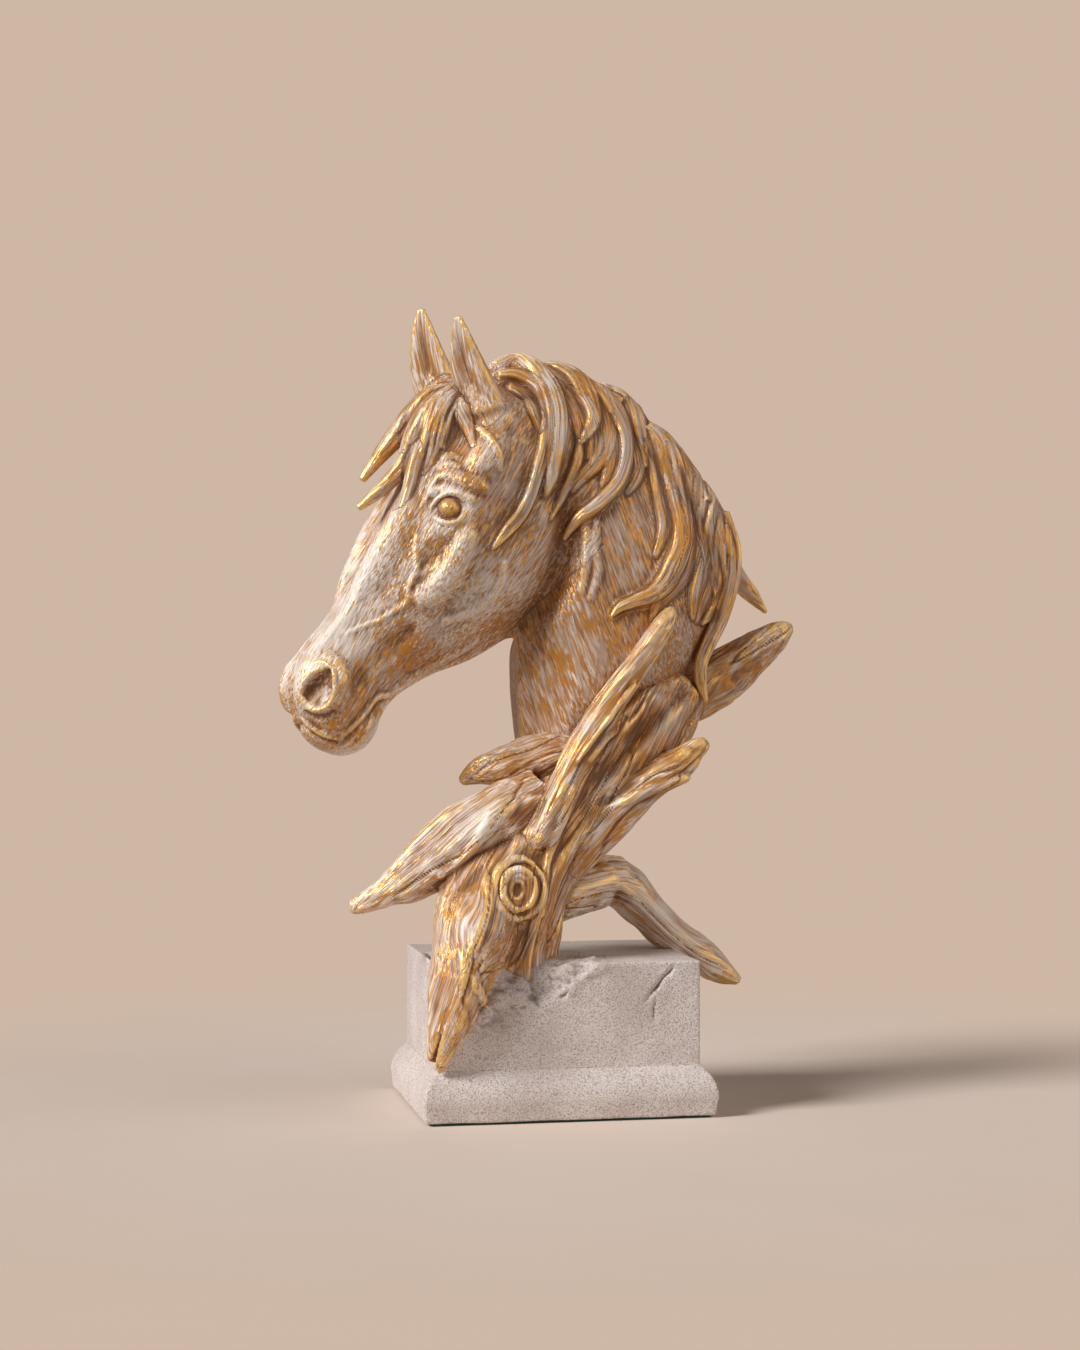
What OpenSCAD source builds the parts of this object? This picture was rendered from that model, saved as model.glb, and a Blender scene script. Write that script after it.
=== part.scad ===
// Horse bust on driftwood: a cast-resin table sculpture standing on a moulded stone-effect plinth.
// Millimetres, +Z up. The origin is the middle of the felt's underside.
// The plinth's long face looks to -Y.

/* [Plinth] */
// Width of the plinth's straight block
block_w = 130; // [110:1:160]
// Depth of the plinth's straight block
block_d = 105; // [90:1:130]
// Height of the plinth's top face above the table
plinth_h = 76; // [60:1:100]
// How far the moulded foot stands out beyond the block
foot_out = 7.5; // [4:0.5:11]
// Height of the foot's upright edge, above the felt
foot_h = 9.3; // [6:0.1:14]
// Height of the round moulding above the upright edge
ovolo_h = 14.5; // [9:0.5:18]
// How far the upright edge leans in at the bottom
foot_lean = 1.2; // [0.4:0.1:2.5]
// How far the broken front edge runs down the front face
chip_drop = 23; // [12:1:30]
// Length of the break along the front edge
chip_w = 62; // [40:1:70]
// How far the break reaches back over the top face
chip_back = 22; // [12:1:30]
// Thickness of the felt
felt_t = 1.2; // [0.8:0.1:3]
// How far the felt's edge lies inside the foot
felt_inset = 1.5; // [0.5:0.5:6]

/* [Fixing stud] */
// Diameter of the steel stud that ties the trunk to the plinth
stud_d = 6; // [5:0.5:8]
// Length of stud inside the trunk
stud_grip = 36; // [20:1:44]
// Play around the stud and the dowels
stud_play = 0.3; // [0.1:0.1:0.6]
// Diameter of the recess for the nut, under the plinth
recess_d = 20; // [18:1:28]
// Depth of the recess for the nut
recess_deep = 14; // [11:1:24]
// Outer diameter of the washer
washer_d = 16; // [13:0.5:17]
// Thickness of the washer
washer_t = 1.6; // [1:0.2:2.5]
// Width of the nut across its flats
nut_flats = 10; // [9:0.5:13]
// Height of the nut
nut_h = 5; // [4:0.5:7]

/* [Driftwood] */
// Turn of the sculpture on its plinth
sculpture_turn = 11; // [0:1:20]
// Depth of the grain's flutes in the timber, as a share of its radius
flute = 0.09; // [0:0.01:0.16]
// Number of flutes round the trunk
trunk_flutes = 7; // [4:1:9]
// Number of flutes round a branch
branch_flutes = 4; // [3:1:6]
// Diameter of the knot's swollen rim
knot_d = 22; // [16:1:26]
// Diameter of the knot's hollow
knot_hole_d = 11; // [8:1:13]
// Depth of the knot's hollow below its rim
knot_deep = 6; // [3:1:9]
// Diameter of the dowels in the glued joints
dowel_d = 4; // [3:0.5:5]
// Length of each dowel
dowel_l = 24; // [16:1:28]
// Diameter of the dowel between trunk and neck
neck_dowel_d = 8; // [6:0.5:10]
// Length of the dowel between trunk and neck
neck_dowel_l = 44; // [30:1:56]

/* [Horse] */
// Turn of the neck out of the sculpture's plane
neck_turn = 8; // [0:1:14]
// Turn of the head out of the sculpture's plane, towards the viewer
head_turn = 25; // [15:1:32]
// Distance of the bust behind the sculpture's own axis
bust_back = 12; // [4:1:18]
// Diameter of the eyeball
eye_d = 11; // [9:0.5:14]
// Length of an ear from its root to its tip
ear_l = 46; // [36:1:54]
// Width of an ear at its widest
ear_w = 22; // [15:0.5:26]
// Length of the nostril's opening
nostril_l = 15; // [11:0.5:18]
// Height of the nostril's opening
nostril_h = 9; // [6:0.5:11]
// Depth of the nostril
nostril_deep = 7; // [4:0.5:10]
// How far the mane's locks stand proud of the neck
lock_proud = 1; // [0:0.5:3]

/* [Hidden] */

$fn = 48;
RESIN = [0.68, 0.58, 0.46];
STONE = [0.80, 0.76, 0.73];
STEEL = [0.62, 0.63, 0.65];
FELT = [0.07, 0.26, 0.22];

base_w = block_w + 2*foot_out;
base_d = block_d + 2*foot_out;
foot_top = felt_t + foot_h;
face_h = plinth_h - foot_top - ovolo_h;
ovolo_r = (foot_out*foot_out + ovolo_h*ovolo_h)/(2*foot_out);
stud_at = [-21, -26];
chip_x = -15;
nut_seat = felt_t + recess_deep;
nut_corners = nut_flats/cos(30);

// Rings along a branch, a lock and the two bodies, and corners in a ring
branch_rings = 12;
branch_sides = 12;
trunk_rings = 18;
trunk_sides = 24;
lock_rings = 9;
lock_sides = 6;
head_rings = 30;
neck_rings = 16;
flank_points = 8;

// The block's front left edge, where the front root comes down, in the sculpture's own axes
corner = [cos(sculpture_turn)*-block_w/2 - sin(sculpture_turn)*-block_d/2,
          sin(sculpture_turn)*-block_w/2 + cos(sculpture_turn)*-block_d/2];
// Where the front root's middle passes that edge, inside the block's faces, so that it covers the corner
root_in = [16, 13];
// The middle of the block's right edge, where the arched root leans, in the same axes
edge_at = [cos(sculpture_turn)*block_w/2, sin(sculpture_turn)*block_w/2];

// Timber routes. Each point is [right, back, up from the plinth's top, half width, half depth].
TRUNK = [[-24, -24, -30, 25, 23], [-23, -26, -4, 25, 22], [-19, -27, 16, 23, 21], [-10, -26, 42, 20, 19],
    [7, -17, 68, 20, 19], [24, -4, 88, 22, 24], [41, 6, 106, 23, 26], [57, 13, 122, 19, 23],
    [69, 17, 132, 11, 14]];
FRONT_ROOT = [[-15, -30, 56, 16, 12], [-31, -38, 36, 20, 14],
    [corner.x + root_in.x, corner.y + root_in.y, 13, 18, 16],
    [corner.x + 10, corner.y + 2, -0.18*face_h, 14, 13], [corner.x + 5, corner.y - 1, -0.53*face_h, 10, 9],
    [corner.x + 1, corner.y - 2, -0.75*face_h, 6.5, 6],
    [corner.x - 4, corner.y - 3, -0.88*face_h, 1.5, 1.5]];
FRONT_SPUR = [[corner.x + 7, corner.y - 2, -0.43*face_h, 6, 6],
    [corner.x + 4, corner.y - 4, -0.7*face_h, 4.5, 4],
    [corner.x + 2, corner.y - 4, -0.88*face_h, 3, 3], [corner.x + 1, corner.y - 3, -0.99*face_h, 1, 1]];
ARCH_ROOT = [[-8, -20, 25, 11, 11], [9, -8, 31, 11.5, 11], [26, 4, 36, 12, 11], [36, 10, 34, 11, 10],
    [edge_at.x - 16, edge_at.y + 3, 21, 9.5, 9], [edge_at.x - 3, edge_at.y + 8, 8, 9, 9],
    [edge_at.x + 10, edge_at.y + 13, -1, 8, 8], [edge_at.x + 24, edge_at.y + 17, -12, 6.5, 6],
    [edge_at.x + 34, edge_at.y + 19, -18, 2, 2]];
LEFT_LOW = [[-4, -24, 80, 12, 12], [-16, -29, 74, 14, 13], [-29, -33, 66, 15, 13], [-44, -35, 59, 15.5, 12],
    [-58, -36, 47.5, 14, 10], [-73, -37, 37, 9.7, 8], [-85, -38, 30.5, 6.3, 6], [-96, -38, 25.7, 1.8, 2.2]];
LEFT_HIGH = [[12, -8, 100, 11, 11], [0, -11, 98, 12, 11], [-14, -13, 95.5, 11, 10], [-26, -14, 93.5, 8.5, 8],
    [-36, -14, 91, 5.5, 5.5], [-43.5, -14, 87, 2, 2]];
NECK_BRANCH = [[-8, -36, 54, 5, 5], [-3, -39, 66, 7, 7], [8, -35, 85.5, 7, 7], [17.5, -29, 105, 7.5, 7],
    [29, -24, 124.5, 7, 7], [41, -21, 141, 6, 6], [51.5, -18, 156.5, 5, 5], [58.5, -15, 167.5, 4, 4],
    [62, -13, 172.5, 1.5, 1.5]];
RIGHT_MID = [[-2, -24, 36, 9, 9], [8, -24, 47.5, 10, 10], [20, -23, 60, 10.5, 10], [31.5, -21, 72, 10.5, 10],
    [44.5, -19, 82, 9.5, 9], [57, -18, 90.7, 8, 8], [67, -17, 97.6, 6.5, 6.5], [77.5, -17, 106, 2, 2]];
RIGHT_SPUR = [[44, -19, 81, 6, 6], [54, -20, 85, 5, 5], [62, -21, 88, 4, 4], [68.5, -21, 88.5, 1.2, 1.2]];
RIGHT_HIGH = [[40, 10, 112, 14, 14], [54, 17, 119, 15, 14], [66, 21, 127, 14, 13], [86.5, 25, 138, 13, 11],
    [104, 27, 150, 10, 8.5], [117, 28, 160, 6, 5.5], [124, 28.5, 164.5, 2, 2]];

// The glued-on timber in the order that the joints are cut.
// Each piece is fitted to the trunk and to those before it.
TIMBER = [FRONT_ROOT, ARCH_ROOT, LEFT_LOW, LEFT_HIGH, NECK_BRANCH, RIGHT_MID, RIGHT_HIGH];
SPURS = [FRONT_SPUR, [], [], [], [], RIGHT_SPUR, []];

// Stations of head and neck.
// Each is [top x, top z, underside x, underside z, five half widths from top to underside].
HEAD = [[-40, 284, -2, 262, 12, 22, 25, 20, 8], [-55, 275, 7, 234, 15, 28, 30, 25, 8],
    [-70, 257, 9, 208, 17, 33, 33, 28, 8], [-84, 230, 0, 180, 16, 34, 31, 27, 8],
    [-95, 208, -22, 162, 14, 27, 28, 25, 8], [-107, 185, -46, 148, 12.5, 20, 23, 20, 9],
    [-118, 167, -68, 140, 11.5, 16, 18.5, 16, 9], [-128, 156, -86, 130, 11, 17, 18.5, 15, 9],
    [-134.5, 146, -93, 120, 11, 19, 20.5, 15, 9], [-137, 132, -96, 110, 10, 18, 19.5, 15, 9],
    [-135, 120, -101, 103, 8, 15, 16.5, 13, 8], [-131, 110, -107, 99.5, 6, 10.5, 11.5, 10, 6],
    [-125, 104, -114, 98.5, 3, 5, 5.5, 5, 3]];
NECK = [[45, 108, -8, 92, 8, 15, 20, 20, 12], [66, 130, -15, 104, 7, 20, 27, 28, 15],
    [84, 157, -17, 119, 7, 24, 32, 33, 17], [92, 187, -18, 136, 7, 25, 33, 34, 19],
    [83, 219, -17, 156, 7, 24, 32, 33, 18], [62, 253, -6, 174, 7, 23, 30, 31, 17],
    [36, 279, 2, 192, 7, 22, 28, 28, 16], [6, 292, 0, 216, 7, 21, 26, 25, 14],
    [-32, 288, -24, 246, 6, 16, 20, 18, 10]];
// Flesh that fills the fold between jaw and neck, turned halfway between the two.
// Each point is [x, y, z, half width, half depth].
JAW_FILL = [[-12, 0, 168, 8, 12], [-1, 0, 184, 15, 20], [6, 0, 205, 18, 24.5], [5, 0, 228, 18, 26.5],
    [0, 0, 250, 18, 27], [-8, 0, 268, 15, 24], [-16, 0, 280, 9, 15]];

// Locks that lie on the neck's flank. Each point is [x, z, half width, half thickness].
NECK_LOCKS = [
    [[-28, 293.5, 2.4, 2.4], [-14, 297, 3.6, 3.8], [-4, 288, 4.6, 4.2], [1, 271, 5.2, 4.2],
        [0.5, 255, 4.9, 4], [-1, 246, 4.4, 3.6], [-6, 229, 1, 1]],
    [[-19, 290.5, 2.4, 2.6], [-7, 281.5, 4, 4], [-4.5, 268, 4, 4], [-6, 252, 4, 3.8], [-10, 241, 1.2, 1.2]],
    [[-4, 294.5, 2.4, 2.4], [7, 290.5, 4.8, 3.2], [15, 281, 5, 3.6], [18, 272, 4.4, 3.4], [18, 265, 3.4, 3],
        [12, 256, 1, 1]],
    [[-1, 285, 2.4, 2], [6, 275.5, 3.5, 2.6], [11, 264, 2.8, 2.2], [11.5, 256, 1, 1]],
    [[17, 285, 2.4, 2.2], [27, 278, 4, 3.2], [33, 265.5, 4.2, 3.6], [35, 250.5, 3.8, 3.6],
        [29, 233, 3.2, 3.4], [15, 220.5, 2.6, 2.6], [3, 206.5, 1, 1]],
    [[18, 278.5, 2, 2], [25, 265, 3.1, 2.6], [28, 250.5, 2.8, 2.4], [23, 234.5, 1, 1]],
    [[26, 284, 2.4, 2.2], [36.5, 277.5, 4.2, 3.2], [42.5, 265.5, 3.6, 3.2], [44, 253.5, 2.6, 2.4],
        [45, 243.5, 1, 1]],
    [[47, 265, 2.6, 2.2], [54, 254.5, 6, 3.8], [58.5, 239.5, 7.2, 4.4], [60, 225.5, 7, 4.6],
        [62.5, 211.5, 5.8, 4.4], [60, 198.5, 5.2, 4.2], [55, 186.5, 4.8, 3.8], [46.5, 179, 3.6, 3],
        [35.5, 175, 2.4, 2.2], [26.5, 167.5, 1, 1]],
    [[63, 253.5, 3, 2.2], [69, 238.5, 4.8, 3.2], [71, 225.5, 4.8, 3.6], [73.5, 207.5, 4.6, 3.6],
        [71.5, 192.5, 3.8, 3.2], [68.5, 177.5, 2.8, 2.4], [69, 166.5, 1, 1]],
    [[75, 236.5, 3, 2.2], [81.5, 223.5, 5.8, 3.6], [82.5, 207.5, 6, 4], [83, 193.5, 5.6, 4],
        [82.5, 179.5, 4.2, 3.2], [73, 164.5, 1, 1]]];
// The thin tail of the first lock, which crosses the cheek
CHEEK_LOCK = [[-10, 259, 3, 3], [-17, 244, 3.5, 3.5], [-22, 231, 3.5, 3.5], [-29, 221, 3, 3],
    [-38, 212, 2.5, 2.5], [-46, 203, 1, 1]];
// Locks that stand free. Each point is [x, y, z, half width, half depth] in the neck's or the head's axes.
TAIL_LOCK = [[90, -7, 211, 4, 4], [92, -8, 195, 5, 5], [91, -9, 182, 5, 4.5], [86, -11, 168, 4.5, 4],
    [80, -13, 156, 4, 4], [75.5, -15, 146, 3.5, 3.5], [75, -16, 137, 3, 3], [77, -16, 127, 1.2, 1.2]];
FAR_LOCK = [[88, 3, 204, 6, 4], [99, 8, 190, 5.5, 4], [107, 10, 181, 4, 3.5], [115, 12, 172.5, 1, 1]];
FORELOCK = [
    [[-50, 2, 280, 5, 9], [-62, 4, 277.5, 7, 11], [-74, 7, 267.5, 7, 10], [-84, 9, 255, 6, 8],
        [-92, 10, 245, 4.2, 5], [-99, 10, 236, 1, 1.2]],
    [[-50, -4, 278, 6, 9], [-66, -6, 271, 7.5, 10], [-76, -6, 259, 7, 9], [-81, -5, 248, 6, 7],
        [-87, -4, 240, 4.6, 5.5], [-95, -2, 231.5, 3.4, 4], [-104, 0, 222.5, 1, 1.2]],
    [[-60, -8, 270, 5, 5], [-76, -12, 250, 4.5, 4.5], [-82, -13, 232, 3.5, 4], [-87, -13, 217, 2.5, 3],
        [-91, -13, 203, 1, 1]],
    [[-54, -12, 279, 4, 4], [-62, -19, 268, 4, 4], [-64, -23, 255, 1.2, 1.2]],
    [[-50, -14, 280, 3.5, 3.5], [-55, -25, 268, 3.5, 3.5], [-56, -30, 255, 1.2, 1.2]]];

// Where each dowel sits, counted in points along its timber's route; undef leaves a joint with glue alone
DOWEL_AT = [1.4, 0.6, 0.6, 0.5, undef, 2.2, 2.3];
neck_dowel_at = [30, 2, 122];
knot_at = [-14.5, -46, 35];
eye_at = [-66.5, 29, 221];
nostril_at = [-130, 15, 134];
// Ridges on each side of the face: brow, upper lid, lower lid, cheekbone.
// Each point is [x, z, half width, half depth].
FACE = [
    [[-78, 233, 1.5, 1.5], [-72, 235, 2.5, 2.5], [-66, 233, 3, 3], [-60, 229, 2.8, 2.8],
        [-54, 224, 1.2, 1.2]],
    [[-77, 221, 0.8, 1], [-73, 225.5, 1.5, 2.5], [-67, 227.5, 1.8, 3], [-61, 225, 1.6, 2.5],
        [-57, 220, 0.8, 1]],
    [[-76, 219, 0.8, 1], [-72, 214.5, 1.3, 2], [-67, 213, 1.5, 2.2], [-62, 215, 1.3, 2], [-58, 219, 0.8, 1]],
    [[-54, 209, 2, 0.8], [-60, 198, 4.5, 1.8], [-66, 188, 5, 2], [-74, 181, 4.5, 1.8], [-83, 176.5, 2, 0.8]]];
// The mouth's line on the cheek, from the front to the corner: [x, z, half height, depth]
MOUTH = [[-137, 120, 0.9, 3], [-128, 113, 0.9, 3], [-119, 112, 0.9, 3], [-107, 119, 0.8, 2.5],
    [-96, 128, 0.5, 1.5]];

// Ear: share of the width and depth of the cup, from root to tip
EAR_SHAPE = [[0.9, 0.2], [1, 0.5], [1.02, 0.78], [0.97, 0.86], [0.82, 0.86], [0.56, 0.7], [0.22, 0.3]];
ear_rings = 12;
ear_sides = 16;
// Depth of an ear as a share of its width, how far it bows back, and the spread of its cup in degrees
ear_deep = 0.72;
ear_bow = 3;
cup_spread = 58;
// Root and lean of each ear, and the turn of its opening out of the head's own front, towards the viewer
near_ear_root = [-43.5, -19, 272];
near_ear_lean = [-0.32, -0.05, 0.95];
near_ear_turn = 32;
far_ear_root = [-51, 16, 279];
far_ear_lean = [-0.26, 0.02, 0.97];
far_ear_turn = 52;

// Rings along a spur, a face ridge, the mouth's line and the jaw's fill, and corners in a ring and a ball
spur_rings = 6;
spur_sides = 8;
ridge_rings = 8;
mouth_rings = 10;
fill_rings = 8;
fill_sides = 16;
ball_sides = 14;
// Turn of the flutes from one end of a timber to the other
flute_twist = 140;
// Width, depth and height of the knot's rim as shares of its diameter, and of its hollow
KNOT_RIM = [0.95, 0.45, 1.1];
KNOT_HOLE = [0.9, 1.1];
knot_out = 0.2;
// How far the rolled rim of a nostril stands beyond its opening, and how the opening is turned
rim_l = 8;
rim_h = 11;
rim_t = 9;
nostril_yaw = 35;
nostril_pitch = 40;
nostril_past = 10;
// Share of a route on each side of a dowel that gives the dowel's direction
dowel_step = 0.08;
// How far cutters run past what they cut, and the stud past its nut
past = 1;
// Length of the front break's cutter, out of the stone
break_out = 24;

function unit(v) = v/norm(v);
function place(p) = [p[0], p[1], p[2]];

// Point at share u along a smooth curve through a list of points or stations
function along(list, u) =
    let (last = len(list) - 1, x = min(max(u, 0), 1)*last, i = min(floor(x), last - 1), t = x - i)
    let (a = list[max(i - 1, 0)], b = list[i], c = list[i + 1], d = list[min(i + 2, last)])
    0.5*(2*b + (c - a)*t + (2*a - 5*b + 4*c - d)*t*t + (3*b - a - 3*c + d)*t*t*t);
function resample(list, n) = [for (i = [0:n]) along(list, i/n)];

// Half width of a body's station at share v from its top to its underside
function flank(station, v) = along([for (k = [4:8]) station[k]], v);
function share_down(i) = (1 - cos(180*i/(flank_points - 1)))/2;
function flank_point(station, v, side) = [station[0] + (station[2] - station[0])*v, side*flank(station, v),
    station[1] + (station[3] - station[1])*v];
function body_ring(station) = [
    for (i = [0:flank_points - 1]) flank_point(station, share_down(i), 1),
    for (i = [flank_points - 1:-1:0]) flank_point(station, share_down(i), -1)];

// Share down a station's line that lies nearest to (x, z), how far off it is, and the half width there
function share_at(station, x, z) =
    let (line = [station[2] - station[0], station[3] - station[1]])
    ([x - station[0], z - station[1]]*line)/(line*line);
function miss(station, x, z) =
    let (line = [station[2] - station[0], station[3] - station[1]], from = [x - station[0], z - station[1]])
    let (v = share_at(station, x, z))
    abs(from.x*line.y - from.y*line.x)/norm(line) + norm(line)*max(0, v - 1, -v);
function flank_at(body, x, z) =
    let (misses = [for (station = body) miss(station, x, z)], best = search(min(misses), misses)[0])
    flank(body[best], min(max(share_at(body[best], x, z), 0), 1));
// A lock's flat route laid on the near flank of a body
function laid(lock, body) =
    [for (p = lock) [p[0], -flank_at(body, p[0], p[1]) - lock_proud, p[1], p[2], p[3]]];

HEAD_FINE = resample(HEAD, 60);
NECK_FINE = resample(NECK, 60);

// Closed skin over a row of rings that turn right-handed round the way they go
module skin(rings) {
    n = len(rings[0]);
    last = len(rings) - 1;
    polyhedron(
        points = [for (ring = rings) each ring],
        faces = [
            for (i = [0:last - 1]) for (j = [0:n - 1]) [i*n + j, i*n + n + j, i*n + n + (j + 1) % n],
            for (i = [0:last - 1]) for (j = [0:n - 1]) [i*n + j, i*n + n + (j + 1) % n, i*n + (j + 1) % n],
            [for (j = [0:n - 1]) j],
            [for (j = [n - 1:-1:0]) last*n + j]]);
}

// A bar of changing oval section swept along a route, with flutes that wind slowly round it
module swept(route, rings, sides, flutes = 0, deep = 0) {
    path = resample(route, rings);
    skin([for (i = [0:rings])
        let (p = path[i], way = unit(place(path[min(i + 1, rings)]) - place(path[max(i - 1, 0)])))
        let (across = unit(cross(way, [0, -1, 0])), behind = cross(way, across))
        [for (j = [0:sides - 1])
            let (a = 360*j/sides, r = 1 + deep*cos(flutes*a + flute_twist*i/rings))
            place(p) + r*(p[3]*cos(a)*across + p[4]*sin(a)*behind)]]);
}

// Takes the children as one cast skin, at their own size
module cast_skin() {
    resize([0, 0, 0]) children();
}

module on_plinth() {
    translate([0, 0, plinth_h]) rotate([0, 0, -sculpture_turn]) children();
}

module bust_turned(turn) {
    on_plinth() translate([0, bust_back, 0]) rotate([0, 0, turn]) children();
}

// Outline of half the plinth across a block of the given width: upright foot, round moulding, straight block
module plinth_outline(wide) {
    polygon([[0, felt_t], [wide/2 + foot_out - foot_lean, felt_t], [wide/2 + foot_out, foot_top],
        [wide/2, foot_top + ovolo_h], [wide/2, plinth_h], [0, plinth_h]]);
    intersection() {
        translate([wide/2 + foot_out - ovolo_r, foot_top]) circle(ovolo_r);
        translate([0, foot_top]) square([wide/2 + foot_out, ovolo_h]);
    }
}

module plinth_bar(wide, long) {
    rotate([90, 0, 0]) linear_extrude(long, center = true) {
        plinth_outline(wide);
        mirror([1, 0, 0]) plinth_outline(wide);
    }
}

// The broken front edge of the stone: flat fractures that meet low on the front face
module front_break() {
    low = [0, 0, -chip_drop];
    right = [chip_w/2, 0, 0];
    left = [-chip_w/2, 0, 0];
    back = [-chip_w/8, chip_back, 0];
    up = [0, -1, chip_drop/chip_back]*break_out;
    translate([chip_x, -block_d/2, plinth_h]) polyhedron(
        points = [low, right, back, left, low + up, right + up, back + up, left + up],
        faces = [[0, 1, 2], [0, 2, 3], [4, 6, 5], [4, 7, 6], [0, 5, 1], [0, 4, 5], [1, 6, 2], [1, 5, 6],
            [2, 7, 3], [2, 6, 7], [3, 4, 0], [3, 7, 4]]);
}

module plinth_stone() {
    difference() {
        intersection() {
            plinth_bar(block_w, 2*base_d);
            rotate([0, 0, 90]) plinth_bar(block_d, 2*base_w);
        }
        front_break();
    }
}

module at_stud() {
    rotate([0, 0, -sculpture_turn]) translate(stud_at) children();
}

module plinth() {
    color(STONE) difference() {
        plinth_stone();
        at_stud() cylinder(d = stud_d + 2*stud_play, h = plinth_h + past);
        at_stud() cylinder(d = recess_d, h = nut_seat);
    }
}

module felt_pad() {
    foot = 2*(foot_out - foot_lean - felt_inset);
    color(FELT) translate([-block_w/2 - foot/2, -block_d/2 - foot/2, 0])
        cube([block_w + foot, block_d + foot, felt_t]);
}

module stud() {
    low = nut_seat - washer_t - nut_h - past;
    color(STEEL) at_stud() translate([0, 0, low]) cylinder(d = stud_d, h = plinth_h + stud_grip - low);
}

module stud_washer() {
    color(STEEL) at_stud() translate([0, 0, nut_seat - washer_t]) difference() {
        cylinder(d = washer_d, h = washer_t);
        translate([0, 0, -past]) cylinder(d = stud_d + stud_play, h = washer_t + 2*past);
    }
}

module stud_nut() {
    color(STEEL) at_stud() translate([0, 0, nut_seat - washer_t - nut_h]) difference() {
        cylinder(d = nut_corners, h = nut_h, $fn = 6);
        translate([0, 0, -past]) cylinder(d = stud_d, h = nut_h + 2*past);
    }
}

module knot_hollow() {
    on_plinth() translate(knot_at - [0, knot_out*knot_d, 0])
        resize([KNOT_HOLE.x*knot_hole_d, 2*knot_deep, KNOT_HOLE.y*knot_hole_d])
            sphere(d = knot_hole_d, $fn = ball_sides);
}

module trunk_form() {
    difference() {
        on_plinth() {
            swept(TRUNK, trunk_rings, trunk_sides, trunk_flutes, flute);
            translate(knot_at) scale(KNOT_RIM) sphere(d = knot_d, $fn = ball_sides);
        }
        knot_hollow();
    }
}

module timber_form(i) {
    on_plinth() {
        swept(TIMBER[i], branch_rings, branch_sides, branch_flutes, flute);
        if (len(SPURS[i]) > 0) swept(SPURS[i], spur_rings, spur_sides);
    }
}

// Puts its children, which lie along Z, on the dowel's line of one joint
module at_dowel(i) {
    route = TIMBER[i];
    step = DOWEL_AT[i]/(len(route) - 1);
    way = unit(place(along(route, step + dowel_step)) - place(along(route, step - dowel_step)));
    on_plinth() translate(place(along(route, step))) rotate([0, acos(way.z), atan2(way.y, way.x)]) children();
}

module dowel_bores(joints) {
    for (i = joints) if (!is_undef(DOWEL_AT[i]))
        at_dowel(i) cylinder(d = dowel_d + stud_play, h = dowel_l + 2*stud_play, center = true);
}

module neck_bore() {
    on_plinth() translate(neck_dowel_at)
        cylinder(d = neck_dowel_d + stud_play, h = neck_dowel_l + 2*stud_play, center = true);
}

module branch_dowels() {
    color(STEEL) for (i = [0:len(TIMBER) - 1]) if (!is_undef(DOWEL_AT[i]))
        at_dowel(i) cylinder(d = dowel_d, h = dowel_l, center = true);
}

module neck_dowel() {
    color(STEEL) on_plinth() translate(neck_dowel_at)
        cylinder(d = neck_dowel_d, h = neck_dowel_l, center = true);
}

module trunk() {
    color(RESIN) difference() {
        cast_skin() difference() {
            trunk_form();
            plinth_stone();
        }
        at_stud() cylinder(d = stud_d + 2*stud_play, h = plinth_h + stud_grip + 2*stud_play);
        dowel_bores([0:len(TIMBER) - 1]);
        neck_bore();
    }
}

// A piece of timber fitted to the plinth, the trunk and the pieces glued on before it
module timber(i) {
    color(RESIN) difference() {
        cast_skin() difference() {
            timber_form(i);
            plinth_stone();
            trunk_form();
            knot_hollow();
            for (k = [0:1:i - 1]) timber_form(k);
        }
        dowel_bores([i]);
    }
}

module front_root() timber(0);
module arch_root() timber(1);
module left_low_branch() timber(2);
module left_high_branch() timber(3);
module neck_branch() timber(4);
module right_mid_branch() timber(5);
module right_high_branch() timber(6);

// Puts its children on both nostrils, with Y out of the hole and X along it
module at_nostrils() {
    for (side = [0, 1]) mirror([0, side, 0]) translate([nostril_at.x, -nostril_at.y, nostril_at.z])
        rotate([0, 0, -nostril_yaw]) rotate([0, -nostril_pitch, 0]) children();
}

module head_form() {
    bust_turned(head_turn) difference() {
        union() {
            skin([for (station = resample(HEAD, head_rings)) body_ring(station)]);
            for (side = [-1, 1]) translate([eye_at.x, side*eye_at.y, eye_at.z])
                sphere(d = eye_d, $fn = ball_sides);
            swept(laid(CHEEK_LOCK, HEAD_FINE), lock_rings, lock_sides);
            for (side = [0, 1]) mirror([0, side, 0]) for (ridge = FACE) 
                swept(laid(ridge, HEAD_FINE), ridge_rings, lock_sides);
            at_nostrils() resize([nostril_l + rim_l, rim_t, nostril_h + rim_h])
                sphere(d = nostril_l, $fn = ball_sides);
        }
        at_nostrils() resize([nostril_l, 2*nostril_deep + nostril_past, nostril_h])
            sphere(d = nostril_l, $fn = ball_sides);
        for (side = [0, 1]) mirror([0, side, 0]) swept(laid(MOUTH, HEAD_FINE), mouth_rings, lock_sides);
    }
}

module neck_form() {
    bust_turned(neck_turn) {
        skin([for (station = resample(NECK, neck_rings)) body_ring(station)]);
        for (side = [0, 1]) mirror([0, side, 0]) for (lock = NECK_LOCKS)
            swept(laid(lock, NECK_FINE), lock_rings, lock_sides);
    }
    bust_turned((head_turn + neck_turn)/2) swept(JAW_FILL, fill_rings, fill_sides);
}

module all_timber() {
    trunk_form();
    for (i = [0:len(TIMBER) - 1]) timber_form(i);
}

module horse_bust() {
    color(RESIN) difference() {
        cast_skin() difference() {
            union() {
                head_form();
                neck_form();
            }
            all_timber();
        }
        neck_bore();
    }
}

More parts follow.
